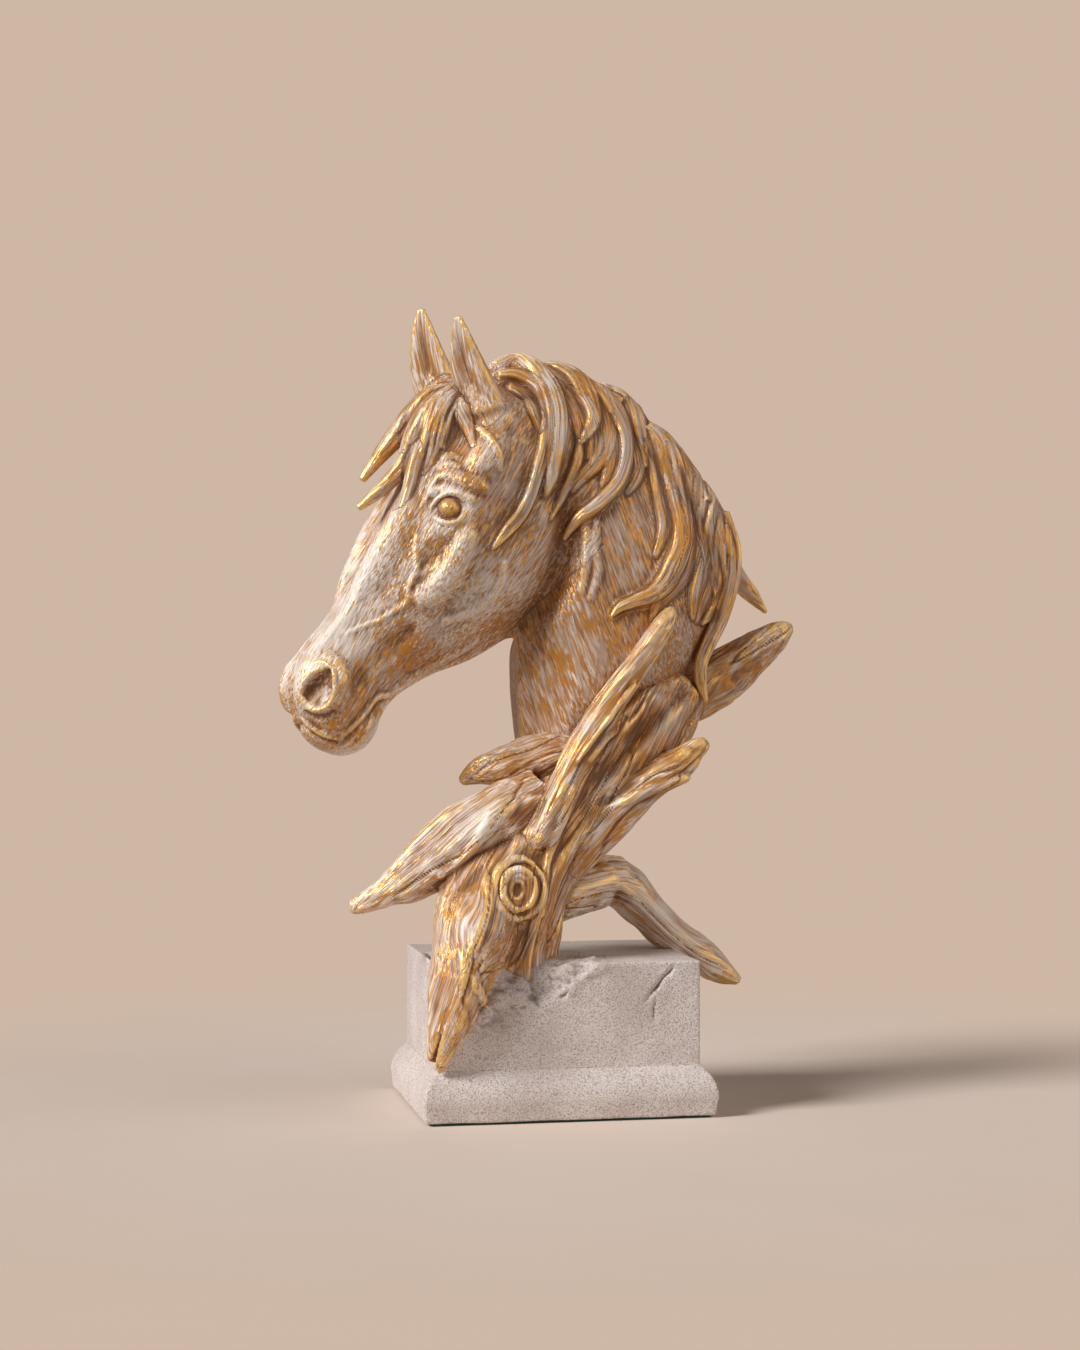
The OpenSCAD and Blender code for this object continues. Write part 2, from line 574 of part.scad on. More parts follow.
// A leaf-shaped ear with a blunt tip, cupped towards its opening
module ear_form(root, lean, turn) {
    axis = unit(lean);
    front = unit(cross(cross(axis, [-cos(turn), -sin(turn), 0]), axis));
    across = cross(axis, front);
    bust_turned(head_turn) skin([for (i = [0:ear_rings])
        let (u = i/ear_rings, shape = along(EAR_SHAPE, u))
        let (middle = root + u*ear_l*axis - ear_bow*sin(180*u)*front)
        [for (j = [0:ear_sides - 1])
            let (a = 360*j/ear_sides, off = (a > 180 ? a - 360 : a)/cup_spread)
            let (r = 1 - shape[1]*exp(-off*off))
            middle + shape[0]*ear_w/2*r*(ear_deep*cos(a)*front + sin(a)*across)]]);
}

module near_ear() {
    color(RESIN) cast_skin() difference() {
        ear_form(near_ear_root, near_ear_lean, near_ear_turn);
        head_form();
        neck_form();
    }
}

module far_ear() {
    color(RESIN) cast_skin() difference() {
        ear_form(far_ear_root, far_ear_lean, far_ear_turn);
        head_form();
        neck_form();
    }
}

module forelock() {
    color(RESIN) cast_skin() difference() {
        bust_turned(head_turn) for (lock = FORELOCK) swept(lock, lock_rings, lock_sides + 1);
        head_form();
        neck_form();
        ear_form(near_ear_root, near_ear_lean, near_ear_turn);
        ear_form(far_ear_root, far_ear_lean, far_ear_turn);
    }
}

module free_lock(route) {
    color(RESIN) cast_skin() difference() {
        bust_turned(neck_turn) swept(route, lock_rings, lock_sides + 1);
        neck_form();
        all_timber();
    }
}

module mane_tail_lock() free_lock(TAIL_LOCK);
module mane_far_lock() free_lock(FAR_LOCK);

felt_pad();
plinth();
stud();
stud_washer();
stud_nut();
trunk();
front_root();
arch_root();
left_low_branch();
left_high_branch();
neck_branch();
right_mid_branch();
right_high_branch();
branch_dowels();
neck_dowel();
horse_bust();
near_ear();
far_ear();
forelock();
mane_tail_lock();
mane_far_lock();
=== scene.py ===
# %% [markdown]
# # A horse bust on driftwood
# The object is a table ornament: a horse's head and neck that rise out of a twisted piece of driftwood, on a
# moulded plinth that looks like speckled stone. All of it is cast resin: the plinth is left pale, and
# everything above it is washed with taupe and brushed with gold. The frame holds the packed solids in
# metres, and this lesson dresses them without moving any.

# %% Load the frame
import math

import bpy
import numpy as np
import openvdb as vdb
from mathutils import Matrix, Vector


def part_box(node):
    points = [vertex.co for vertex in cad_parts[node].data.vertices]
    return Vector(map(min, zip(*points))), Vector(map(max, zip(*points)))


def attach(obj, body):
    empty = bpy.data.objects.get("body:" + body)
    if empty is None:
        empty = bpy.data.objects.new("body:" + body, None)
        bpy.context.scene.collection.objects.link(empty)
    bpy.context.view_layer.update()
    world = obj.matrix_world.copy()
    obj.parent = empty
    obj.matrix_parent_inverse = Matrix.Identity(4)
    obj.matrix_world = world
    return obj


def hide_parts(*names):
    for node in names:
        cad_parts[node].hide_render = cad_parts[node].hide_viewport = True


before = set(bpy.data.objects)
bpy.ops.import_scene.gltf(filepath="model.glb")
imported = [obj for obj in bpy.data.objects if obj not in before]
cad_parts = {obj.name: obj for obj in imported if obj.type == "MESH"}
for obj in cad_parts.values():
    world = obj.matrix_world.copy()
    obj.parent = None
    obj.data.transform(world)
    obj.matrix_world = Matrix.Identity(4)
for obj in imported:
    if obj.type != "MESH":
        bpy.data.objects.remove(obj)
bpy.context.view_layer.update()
MM = 0.001

# %% [markdown]
# ## Axes
# The sculptor turned the bust a little on its plinth, the neck a little more, and the head most of all, so
# that it looks past the viewer. It is easier to give a lock's place in the neck's own axes than in the
# room's, so these helpers carry points from each set of axes to the room. All sculpting is done in
# millimetres.


# %% Axes of the sculpture, the neck and the head
def box_mm(name):
    return np.array([list(corner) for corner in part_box(name)])/MM


SCULPTURE_TURN, NECK_TURN, HEAD_TURN = -11.0, 8.0, 25.0
BUST_BACK = 12.0
PLINTH_TOP = box_mm("plinth")[1][2]


def turned(points, degrees):
    c, s = math.cos(math.radians(degrees)), math.sin(math.radians(degrees))
    return np.asarray(points, float) @ np.array([[c, s, 0], [-s, c, 0], [0, 0, 1]])


def in_bust(points, turn):
    return turned(turned(points, turn) + [0, BUST_BACK, 0], SCULPTURE_TURN) + [0, 0, PLINTH_TOP]


def from_bust(points, turn):
    on_plinth = turned(np.asarray(points, float) - [0, 0, PLINTH_TOP], -SCULPTURE_TURN)
    return turned(on_plinth - [0, BUST_BACK, 0], -turn)


def other_side(points, turn):
    return in_bust(from_bust(points, turn)*[1, -1, 1], turn)


print("plinth top at", round(PLINTH_TOP, 2), "mm")

# %% [markdown]
# ## Camera
# The photograph looks level at the bust from a little to the left, with a long lens. The same camera also
# serves as the sculptor's eye: a lock's route can be drawn as the viewer sees it, and then laid on the clay
# along the line of sight.

# %% Camera
EYE = np.array([-253.6, -1287.2, 215.7])
VIEW_TURN = -10.94
LENS, SENSOR = 69.4, 36


def placed(name, data):
    thing = bpy.data.objects.new(name, data)
    bpy.context.collection.objects.link(thing)
    return thing


lens = bpy.data.cameras.new("camera")
lens.lens, lens.sensor_width = LENS, SENSOR
camera = placed("camera", lens)
camera.location = Vector(EYE)*MM
camera.rotation_euler = (math.radians(90), 0, math.radians(VIEW_TURN))
bpy.context.scene.camera = camera
print("camera", round(math.dist(EYE, (0, 0, EYE[2]))), "mm away")

# %% [markdown]
# ## Curves and skins
# A lock of hair, a branch and a whole neck are the same thing to a modeller: a route with a width that
# changes. Blender's curves could carry a bevel along it, but not an oval one that thins and turns, so these
# helpers draw a smooth curve through a few points and put a closed skin of quads round it.


# %% Curves
def unit(v):
    return v/np.maximum(np.linalg.norm(v, axis=-1, keepdims=True), 1e-9)


def drawn_out(rows, count):
    rows = np.asarray(rows, float)
    last = len(rows) - 1
    u = np.linspace(0, last, count)
    i = np.minimum(u.astype(int), last - 1)
    t = (u - i)[:, None]
    a, b, c, d = rows[np.maximum(i - 1, 0)], rows[i], rows[i + 1], rows[np.minimum(i + 2, last)]
    return 0.5*(2*b + (c - a)*t + (2*a - 5*b + 4*c - d)*t**2 + (3*b - a - 3*c + d)*t**3)


print("a curve through 0, 1, 0:", np.round(drawn_out([[0], [1], [0]], 5).ravel(), 2))

# %% Skins
POLE_GAP = 0.02


def closed_skin(rings):
    rows, sides = rings.shape[:2]
    ring, side = np.meshgrid(np.arange(rows - 1), np.arange(sides), indexing="ij")
    a, b = ring*sides + side, ring*sides + (side + 1) % sides
    quads = np.stack([a, a + sides, b + sides, b], -1).reshape(-1, 4)
    points = np.concatenate([rings.reshape(-1, 3), rings[0].mean(0)[None], rings[-1].mean(0)[None]])
    here, end = np.arange(sides), (rows - 1)*sides
    beside = (here + 1) % sides
    first = np.stack([here, beside, np.full(sides, rows*sides)], -1)
    last = np.stack([end + beside, end + here, np.full(sides, rows*sides + 1)], -1)
    return points, quads, np.concatenate([first, last])


def angles_round(sides):
    return np.arange(sides)*2*np.pi/sides


def oval_tube(route, across, up, half_w, half_t, sides=12):
    a = angles_round(sides)[:, None]
    wide = half_w[:, None, None]*np.cos(a)*across[:, None]
    thick = half_t[:, None, None]*np.sin(a)*up[:, None]
    return closed_skin(route[:, None] + (wide + thick))


def ball(centre, axes, rows=16, sides=24):
    polar = np.linspace(POLE_GAP, np.pi - POLE_GAP, rows)[:, None]
    a = angles_round(sides)
    high = np.repeat(np.cos(polar), sides, 1)
    shape = np.stack([np.sin(polar)*np.cos(a), np.sin(polar)*np.sin(a), high], -1)
    return closed_skin(centre + shape @ np.asarray(axes, float))


print("a ball has", len(ball(np.zeros(3), np.eye(3))[1]), "quads")


# %% Solids of the frame
def node_shape(name):
    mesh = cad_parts[name].data
    mesh.calc_loop_triangles()
    points = np.empty(len(mesh.vertices)*3, np.float32)
    mesh.vertices.foreach_get("co", points)
    corners = np.empty(len(mesh.loop_triangles)*3, np.int32)
    mesh.loop_triangles.foreach_get("vertices", corners)
    return points.reshape(-1, 3)/MM, np.empty((0, 4), int), corners.reshape(-1, 3)


print("trunk in the frame:", len(node_shape("trunk")[2]), "triangles")

# %% [markdown]
# ## Clay
# A casting has no seams: an eyelid flows into the cheek, and a branch into the trunk. Joining meshes leaves
# hard creases, so the pieces are sculpted in a block of voxel clay instead. Each voxel keeps its distance to
# the surface, below zero inside. Two forms are then joined with a soft fillet by one line of arithmetic.


# %% Joining and sampling
def joined(a, b, blend):
    low = np.minimum(a, b)
    if blend <= 0:
        return low
    near = np.maximum(blend - np.abs(a - b), 0)*(low < 2*blend)
    return low - near*near/(4*blend)


def sampled(field, low, pitch, places):
    q = places/pitch - low
    i = np.clip(np.floor(q).astype(int), 0, np.array(field.shape) - 2)
    f = np.clip(q - i, 0, 1)
    total = np.zeros(len(places))
    for corner in np.ndindex(2, 2, 2):
        j = i + corner
        total += np.prod(np.where(corner, f, 1 - f), -1)*field[j[:, 0], j[:, 1], j[:, 2]]
    return total


print("two faces that meet, with a fillet of 4:", joined(np.zeros(1), np.zeros(1), 4.0))

BAND = 11
QUICK = 1.0
SOFTENING_ROUNDS = 2


class Clay:
    def __init__(self, low, high, pitch):
        self.pitch = pitch*QUICK
        self.low = np.floor(np.array(low)/self.pitch).astype(int)
        self.high = np.ceil(np.array(high)/self.pitch).astype(int)
        self.field = np.full(self.high - self.low + 1, BAND*self.pitch, np.float32)

    def form(self, shape):
        points, quads, corners = shape
        grid = vdb.FloatGrid.createLevelSetFromPolygons(
            np.ascontiguousarray(points, np.float32),
            triangles=np.ascontiguousarray(corners, np.uint32),
            quads=np.ascontiguousarray(quads, np.uint32),
            transform=vdb.createLinearTransform(self.pitch), halfWidth=BAND)
        first, last = grid.evalActiveVoxelBoundingBox()
        first, last = np.maximum(first, self.low), np.minimum(last, self.high)
        part = np.empty(np.maximum(last - first + 1, 1), np.float32)
        grid.copyToArray(part, ijk=tuple(int(i) for i in first))
        return tuple(slice(a, b + 1) for a, b in zip(first - self.low, last - self.low)), part

    def add(self, shape, blend=0.0):
        window, part = self.form(shape)
        self.field[window] = joined(self.field[window], part, blend)

    def cut(self, shape, blend=0.0):
        window, part = self.form(shape)
        self.field[window] = -joined(-self.field[window], part, blend)

    def soften(self, reach):
        radius = max(1, round(reach/self.pitch))
        for axis in range(3):
            for _ in range(SOFTENING_ROUNDS):
                line = np.moveaxis(self.field, axis, 0)
                padded = np.concatenate([line[:1].repeat(radius + 1, 0), line, line[-1:].repeat(radius, 0)])
                total = np.cumsum(padded, axis=0, dtype=np.float32)
                line[...] = (total[2*radius + 1:] - total[:-2*radius - 1])/(2*radius + 1)

    def depth(self, places):
        return sampled(self.field, self.low, self.pitch, places)

    def facing(self, places, reach=1.0):
        steps = np.eye(3)*reach*self.pitch
        return unit(np.stack([self.depth(places + step) - self.depth(places - step) for step in steps], -1))

    def skin(self):
        grid = vdb.FloatGrid(BAND*self.pitch)
        grid.copyFromArray(self.field)
        points, quads = grid.convertToQuads(isovalue=0.0)
        return (points + self.low)*self.pitch, quads.astype(np.int64)


print("clay keeps distances to", BAND, "voxels")

# %% [markdown]
# ## Drawing on the clay
# The face and the mane are best drawn as they are seen. A point of the picture is given in millimetres right
# of the sculpture's axis and up from the table. Marching from the eye towards it, a step as long as the
# clay's own distance each time, ends on the surface; a line that misses stops where it came nearest.

# %% Points of the picture, laid on the clay
# The march starts this far in front of the axis, and takes this many steps of a share of the distance each.
START, STEPS, STEP_SHARE = 110, 160, 0.8
STEP_SHORT, STEP_LONG, ON_SKIN = 0.2, 4, 0.05
EASE, EASE_ROUNDS = np.array([0.25, 0.5, 0.25]), 3
LAID_REACH = 3.0


def seen(clay, picture):
    picture = np.asarray(picture, float)
    flat = np.stack([picture[:, 0], np.zeros(len(picture)), picture[:, 1]], -1)
    target = turned(flat, SCULPTURE_TURN)
    way = unit(target - EYE)
    place = target - START*way
    best, least = place.copy(), np.full(len(place), np.inf)
    for _ in range(STEPS):
        depth = clay.depth(place)
        closer = depth < least
        best[closer], least[closer] = place[closer], depth[closer]
        step = np.where(least > ON_SKIN, np.clip(STEP_SHARE*depth, STEP_SHORT, STEP_LONG), 0)
        place = place + way*step[:, None]
    return best


def laid(clay, rows, count):
    rows = drawn_out(rows, count)
    route = seen(clay, rows[:, :2])
    for _ in range(EASE_ROUNDS):
        padded = np.concatenate([route[:1], route, route[-1:]])
        route = np.stack([np.convolve(padded[:, k], EASE, "valid") for k in range(3)], -1)
    return route, clay.facing(route, LAID_REACH), rows[:, 2:]


def framed(route, up):
    way = unit(np.gradient(route, axis=0))
    across = unit(np.cross(way, up))
    return across, np.cross(across, way)


print("lines of sight start", START, "mm in front of the axis")

# %% [markdown]
# ## The horse's body
# Head and neck are two lofts. Each station is a line from the top edge to the underside, seen from the side,
# with five half widths down it. Few stations are enough, since a smooth curve runs through them, and a
# softening pass then rounds the flat edges as a rasp would.

# %% Stations of head and neck
# Each station is top x, top z, underside x, underside z, then the half widths from top to underside.
HEAD = [[-40, 284, -2, 262, 12, 22, 25, 20, 8], [-55, 275, 7, 234, 15, 28, 30, 25, 8],
        [-70, 257, 9, 208, 17, 33, 33, 28, 8], [-84, 230, 0, 180, 16, 34, 31, 27, 8],
        [-95, 208, -22, 162, 14, 27, 28, 25, 8], [-107, 185, -46, 148, 12.5, 20, 23, 20, 9],
        [-118, 167, -68, 140, 11.5, 16, 18.5, 16, 9], [-128, 156, -86, 130, 11, 17, 18.5, 15, 9],
        [-134.5, 146, -94, 121, 11, 19, 20.5, 15, 9], [-137, 132, -97.5, 111.5, 10, 18, 19.5, 14.5, 8.5],
        [-135, 120, -102, 105, 8, 15, 16.5, 12.5, 7.5], [-131, 110, -107.5, 101.5, 6, 10.5, 11.5, 10, 6],
        [-125, 104, -114, 100, 3, 5, 5.5, 5, 3]]
NECK = [[45, 108, -8, 92, 8, 15, 20, 20, 12], [66, 130, -15, 104, 7, 20, 27, 28, 15],
        [84, 157, -17, 119, 7, 24, 32, 33, 17], [92, 187, -18, 136, 7, 25, 33, 34, 19],
        [83, 219, -17, 156, 7, 24, 32, 33, 18], [62, 253, -6, 174, 7, 23, 30, 31, 17],
        [36, 279, 2, 192, 7, 22, 28, 28, 16], [6, 292, 0, 216, 7, 21, 26, 25, 14],
        [-32, 288, -24, 246, 6, 16, 20, 18, 10]]
# Flesh in the fold between jaw and neck: x, y, z, half width and half depth.
JAW_FILL = [[-12, 0, 168, 8, 12], [-1, 0, 184, 15, 20], [6, 0, 205, 18, 24.5], [5, 0, 228, 18, 26.5],
            [0, 0, 250, 18, 27], [-8, 0, 268, 15, 24], [-16, 0, 280, 9, 15]]
# The roll of the crest that the mane grows from, in the neck's axes and in the same form.
CREST = [[-40, 0, 284, 5, 8], [-28, 0, 288, 7, 10], [-16, 0, 290, 8, 12], [-4, 0, 288, 8, 13],
         [10, 0, 283.5, 7, 13], [26, 0, 277, 6, 12], [40, 0, 267.5, 6, 11], [57, 0, 251.5, 6, 11],
         [71, 0, 233.5, 6, 11], [82, 0, 217, 6, 11], [88, 0, 200, 6, 11], [88, 0, 186, 5, 9]]
ROUND_FLANK, LOFT_RINGS, WIDTH_STEPS = 22, 90, 81


def body_loft(stations, turn):
    down = (1 - np.cos(np.linspace(0, np.pi, ROUND_FLANK)))/2
    rings = []
    for row in drawn_out(stations, LOFT_RINGS):
        wide = drawn_out(row[4:, None], WIDTH_STEPS)[:, 0]
        half = np.interp(down, np.linspace(0, 1, WIDTH_STEPS), wide)
        line = np.stack([row[0] + (row[2] - row[0])*down, half, row[1] + (row[3] - row[1])*down], -1)
        rings.append(np.concatenate([line, (line*[1, -1, 1])[::-1]]))
    return closed_skin(in_bust(np.array(rings).reshape(-1, 3), turn).reshape(len(rings), -1, 3))


print("stations:", len(HEAD), "of the head and", len(NECK), "of the neck")

# %% Rough out the horse
HORSE_LOW, HORSE_HIGH, HORSE_PITCH = (-142, -60, 150), (126, 62, 404), 0.8
THROAT_BLEND, FLESH_BLEND, HORSE_RASP = 12, 8, 1.9
# Each tube of flesh: its rows, the turn of its axes, and how many rings and sides it gets.
FLESH = [(JAW_FILL, (HEAD_TURN + NECK_TURN)/2, 30, 32), (CREST, NECK_TURN, 60, 24)]


def in_space(rows, count, turn):
    rows = drawn_out(rows, count)
    near = turned(np.repeat([[0.0, -1.0, 0.0]], count, 0), turn + SCULPTURE_TURN)
    return in_bust(rows[:, :3], turn), near, rows[:, 3:]


horse = Clay(HORSE_LOW, HORSE_HIGH, HORSE_PITCH)
horse.add(body_loft(NECK, NECK_TURN))
horse.add(body_loft(HEAD, HEAD_TURN), THROAT_BLEND)
for rows, turn, count, sides in FLESH:
    route, near, sizes = in_space(rows, count, turn)
    across = unit(np.cross(np.gradient(route, axis=0), near))
    horse.add(oval_tube(route, across, near, *sizes.T, sides), FLESH_BLEND)
horse.soften(HORSE_RASP)
print("horse clay:", horse.field.shape, "voxels of", round(horse.pitch, 2), "mm")

# %% [markdown]
# ## The face
# The face is what the eye goes to first: a bulging eye between thick lids, a folded brow, a wide nostril
# with a rolled rim, and veins under thin skin. Each ridge is a short stroke of clay drawn on the near cheek
# as it is seen and mirrored to the far one; each fold is a stroke that is cut away.

# %% Tools for strokes
SPOT_REACH, RING_SIDES = 5.0, 10


def stroke(clay, rows, count=24):
    route, up, sizes = laid(clay, rows, count)
    across, up = framed(route, up)
    return oval_tube(route, across, up, sizes[:, 0], sizes[:, 1])


def mirrored(shape, turn):
    points, quads, corners = shape
    return other_side(points, turn), quads[:, ::-1], corners[:, ::-1]


def on_side(side, shape, turn):
    return mirrored(shape, turn) if side else shape


def axes_at(clay, spot, tilt):
    place = seen(clay, [spot])
    out = clay.facing(place, SPOT_REACH)[0]
    right = unit(np.cross([0, 0, 1], out))
    up = np.cross(out, right)
    c, s = math.cos(math.radians(tilt)), math.sin(math.radians(tilt))
    return place[0], c*right + s*up, c*up - s*right, out


def dab(clay, spot, tilt, long, high, deep, lift):
    place, right, up, out = axes_at(clay, spot, tilt)
    return ball(place + lift*out, [long*right, high*up, deep*out])


def ring_round(clay, spot, tilt, long, high, thick, lift, turns=40):
    place, right, up, out = axes_at(clay, spot, tilt)
    a = np.linspace(0, 2*np.pi, turns, endpoint=False)[:, None]
    route = place + long*np.cos(a)*right + high*np.sin(a)*up
    route = route - clay.depth(route)[:, None]*out + lift*out
    outward = unit(route - route.mean(0))
    b = angles_round(RING_SIDES)[:, None]
    rings = route[:, None] + thick*(np.cos(b)*outward[:, None] + np.sin(b)*out)
    i, j = np.meshgrid(np.arange(turns), np.arange(RING_SIDES), indexing="ij")
    i, j = [i, (i + 1) % turns], [j, (j + 1) % RING_SIDES]
    quads = np.stack([i[p]*RING_SIDES + j[q] for p, q in ((0, 0), (1, 0), (1, 1), (0, 1))], -1)
    return rings.reshape(-1, 3), quads.reshape(-1, 4), np.empty((0, 3), int)


print("tools: stroke, dab and ring")

# %% Hollows and muscles of the face
# Each row: a spot of the picture, tilt, half length, half height, half depth, and lift out of the skin.
FACE_HOLLOWS = [((-51, 300), 8, 13, 8, 6, 5.0), ((-44, 335), 75, 14, 8, 7, 4.5),
                ((-58, 277), 50, 10, 6, 4, 3.6), ((-86, 225), 40, 22, 6, 5, 4.0),
                ((-98, 208), 60, 11, 5, 4, 3.2)]
FACE_BULGES = [((-32, 268), 60, 24, 16, 8, -5.5), ((-50, 268), 58, 20, 5, 4, -1.8),
               ((-116, 210), 55, 14, 12, 7, -4), ((-94, 188), 60, 7, 5, 5, -3.5),
               ((-30, 328), 60, 11, 6, 4, -2.2), ((-84, 280), 62, 26, 6, 4, -3.2)]
HOLLOW_BLEND, BULGE_BLEND = 5, 7
for side in range(2):
    for row in FACE_HOLLOWS:
        horse.cut(on_side(side, dab(horse, *row), HEAD_TURN), HOLLOW_BLEND)
    for row in FACE_BULGES:
        horse.add(on_side(side, dab(horse, *row), HEAD_TURN), BULGE_BLEND)
print("face roughed out with", len(FACE_HOLLOWS), "hollows and", len(FACE_BULGES), "bulges on each side")

# %% Ridges and folds of the face
# Each ridge: its blend with the skin, then points of the picture with half width and half thickness.
RIDGES = [
    (1.0, [(-60.5, 298.5, 0.5, 0.4), (-57.6, 302.8, 1.2, 1.6), (-54, 305.8, 1.4, 2.3),
        (-50, 307.2, 1.5, 2.6), (-45.7, 306.7, 1.4, 2.3), (-41, 302.8, 0.6, 0.6)]),
    (1.0, [(-58, 295.6, 0.5, 0.4), (-54.4, 293, 1.1, 1.4), (-50.4, 291.9, 1.2, 1.9), (-46.2, 293, 1.1, 1.6),
        (-42.4, 297, 0.5, 0.5)]),
    (2.5, [(-59.5, 307, 0.6, 0.4), (-55, 310, 1.5, 0.9), (-49.5, 309.4, 1.9, 1.1), (-43.5, 306.8, 1.7, 1),
        (-38.5, 303.6, 0.7, 0.5)]),
    (1.5, [(-62.6, 303.6, 0.5, 0.4), (-60.4, 308.4, 1.1, 1), (-58, 313, 1.1, 1), (-55.4, 316.4, 0.5, 0.4)]),
    (3.2, [(-56, 315.8, 0.8, 0.5), (-51, 316.6, 2.2, 1.4), (-45.5, 315, 2.8, 1.8), (-39.5, 312.8, 3.2, 2.2),
        (-34.4, 311, 3, 2.7), (-31.2, 309.4, 0.9, 0.7)]),
    (2.0, [(-55.4, 319.6, 0.6, 0.4), (-51.2, 322, 1.2, 0.9), (-45.5, 320.6, 0.6, 0.4)]),
    (2.0, [(-53.4, 324.6, 0.6, 0.4), (-49, 326.4, 1.1, 0.8), (-45.5, 325, 0.6, 0.4)]),
    (1.4, [(-66, 287, 0.5, 0.4), (-67.5, 279, 0.9, 0.7), (-66.6, 269, 1.1, 0.9), (-71, 260, 1, 0.8),
        (-71.6, 252, 1.2, 1), (-79, 247.4, 1, 0.9), (-86, 243, 0.9, 0.8), (-96, 239.6, 0.8, 0.7),
        (-103, 236, 0.4, 0.3)]),
    (6.0, [(-40, 287, 1.6, 0.5), (-45, 276, 3.2, 0.8), (-50, 266, 3.6, 0.9), (-57, 258.5, 3.2, 0.8),
        (-66, 253.5, 1.6, 0.5)]),
    (3.0, [(-53, 243, 0.8, 0.5), (-47, 244.5, 1.3, 0.8), (-39, 248, 1.4, 0.9), (-30, 254, 1.3, 0.8),
        (-24.5, 263, 1, 0.7), (-23, 273, 0.6, 0.5)]),
    (2.0, [(-37, 341, 0.8, 0.8), (-30, 335, 1.7, 1.8), (-25.5, 327.5, 1.7, 1.8), (-25, 319, 0.7, 0.7)]),
    (1.4, [(-77, 211.5, 0.6, 0.5), (-80.5, 205.8, 1.2, 1.2), (-86.5, 204.8, 1.4, 1.5),
        (-90.8, 200, 1.5, 1.6), (-94.8, 194.4, 1.4, 1.5), (-99.6, 189.2, 1.2, 1.3),
        (-105.5, 184.6, 0.5, 0.5)]),
    (1.6, [(-125.5, 194.6, 0.6, 0.5), (-122.3, 191.4, 1.4, 1.3), (-117.3, 187.4, 1.5, 1.5),
        (-112.5, 185, 1.4, 1.4), (-107.5, 183.8, 0.6, 0.6)]),
    (3.0, [(-78, 207, 0.7, 0.6), (-70, 214, 1.4, 0.9), (-60, 220, 1.4, 0.9), (-48, 226, 1.4, 0.9),
        (-36, 233, 0.7, 0.6)]),
    (1.2, [(-124, 199.5, 0.6, 0.6), (-119.5, 198, 1, 1.2), (-114.5, 198.4, 1.1, 1.4),
        (-110.5, 201.6, 1.2, 1.8), (-108.3, 207.5, 1.2, 1.9), (-108.4, 214.5, 1.2, 1.9),
        (-110.8, 220.2, 1.1, 1.5), (-115.2, 222.6, 0.9, 1), (-119, 221.4, 0.5, 0.5)]),
    (3.0, [(-113, 225.6, 0.8, 0.5), (-106.4, 222, 1.8, 1), (-104, 216, 2, 1.2), (-104.8, 209, 1.6, 0.9),
        (-107.5, 203, 0.7, 0.4)]),
    (1.8, [(-101, 178.4, 0.5, 0.4), (-95.8, 182.6, 1.2, 0.9), (-91.6, 189, 1.2, 0.9), (-89, 195, 0.5, 0.4)]),
    (1.6, [(-109, 178, 0.5, 0.4), (-103.4, 180.4, 1, 0.8), (-98.4, 184.6, 1, 0.8),
        (-94.8, 189.4, 0.5, 0.4)])]
NECK_RIDGES = [
    (2.5, [(17, 297, 0.8, 0.7), (19, 285, 2, 1.7), (18.5, 272, 2, 1.7), (16, 257, 0.8, 0.7)]),
    (2.5, [(24, 293, 0.8, 0.6), (23, 280, 1.6, 1.3), (24.5, 267, 1.6, 1.3), (20.5, 254, 0.7, 0.6)])]
FOLDS = [
    [(-126, 191.6, 0.4, 0.4), (-122.3, 188.8, 0.8, 0.8), (-117, 185, 0.9, 0.9), (-112, 182.6, 0.8, 0.8),
        (-107, 181.6, 0.4, 0.4)],
    [(-108, 197.5, 0.6, 0.4), (-113, 195, 1, 0.7), (-119, 195, 0.9, 0.6), (-123, 197.5, 0.5, 0.3)]]
print("face to be drawn with", len(RIDGES), "ridges and", len(FOLDS), "folds")

# %% Draw the face
NOSTRIL_BOWL, EYEBALL = ((-115, 209), 42, 11, 8.6, 6, 0.6), ((-50.4, 299.8), 0, 5.4, 5.2, 5, -0.6)
NOSTRIL_HOLE = [(-110, 218.4, 1, 1.6), (-113.5, 215.4, 3, 4), (-117.5, 211, 4.6, 5.6),
                (-121, 206.6, 4.6, 5.2), (-124, 203.4, 2.4, 2.8)]
RIDGE_POINTS, NOSTRIL_BLEND, EYE_BLEND, FOLD_BLEND = 40, 1.5, 1.2, 2.2
eyeball = dab(horse, *EYEBALL)
work = [(horse.cut, dab(horse, *NOSTRIL_BOWL), NOSTRIL_BLEND, HEAD_TURN)]
work += [(horse.add, eyeball, EYE_BLEND, HEAD_TURN)]
for turn, ridges in (HEAD_TURN, RIDGES), (NECK_TURN, NECK_RIDGES):
    work += [(horse.add, stroke(horse, rows, RIDGE_POINTS), blend, turn) for blend, rows in ridges]
work += [(horse.cut, stroke(horse, NOSTRIL_HOLE), NOSTRIL_BLEND, HEAD_TURN)]
work += [(horse.cut, stroke(horse, rows), FOLD_BLEND, HEAD_TURN) for rows in FOLDS]
for side in range(2):
    for press, shape, blend, turn in work:
        press(on_side(side, shape, turn), blend)
print("face drawn with", len(work), "strokes and dabs on each side")

# %% [markdown]
# ## Ears
# An ear is a thin leaf rolled into a cup. It could be cut hollow, but a loft of rings whose fronts are
# pulled in, most of all halfway up, gives the cup and its rolled rim in one go.

# %% Ears
EAR_LONG, EAR_WIDE, EAR_DEEP, CUP_SPREAD = 46.5, 22.0, 0.72, 58.0
# Each ear is its root, its lean, and how far its opening turns to the viewer.
EARS = [((-45, -19, 272), (-0.32, -0.05, 0.95), 30), ((-53, 16, 279), (-0.23, 0.02, 0.97), 40)]
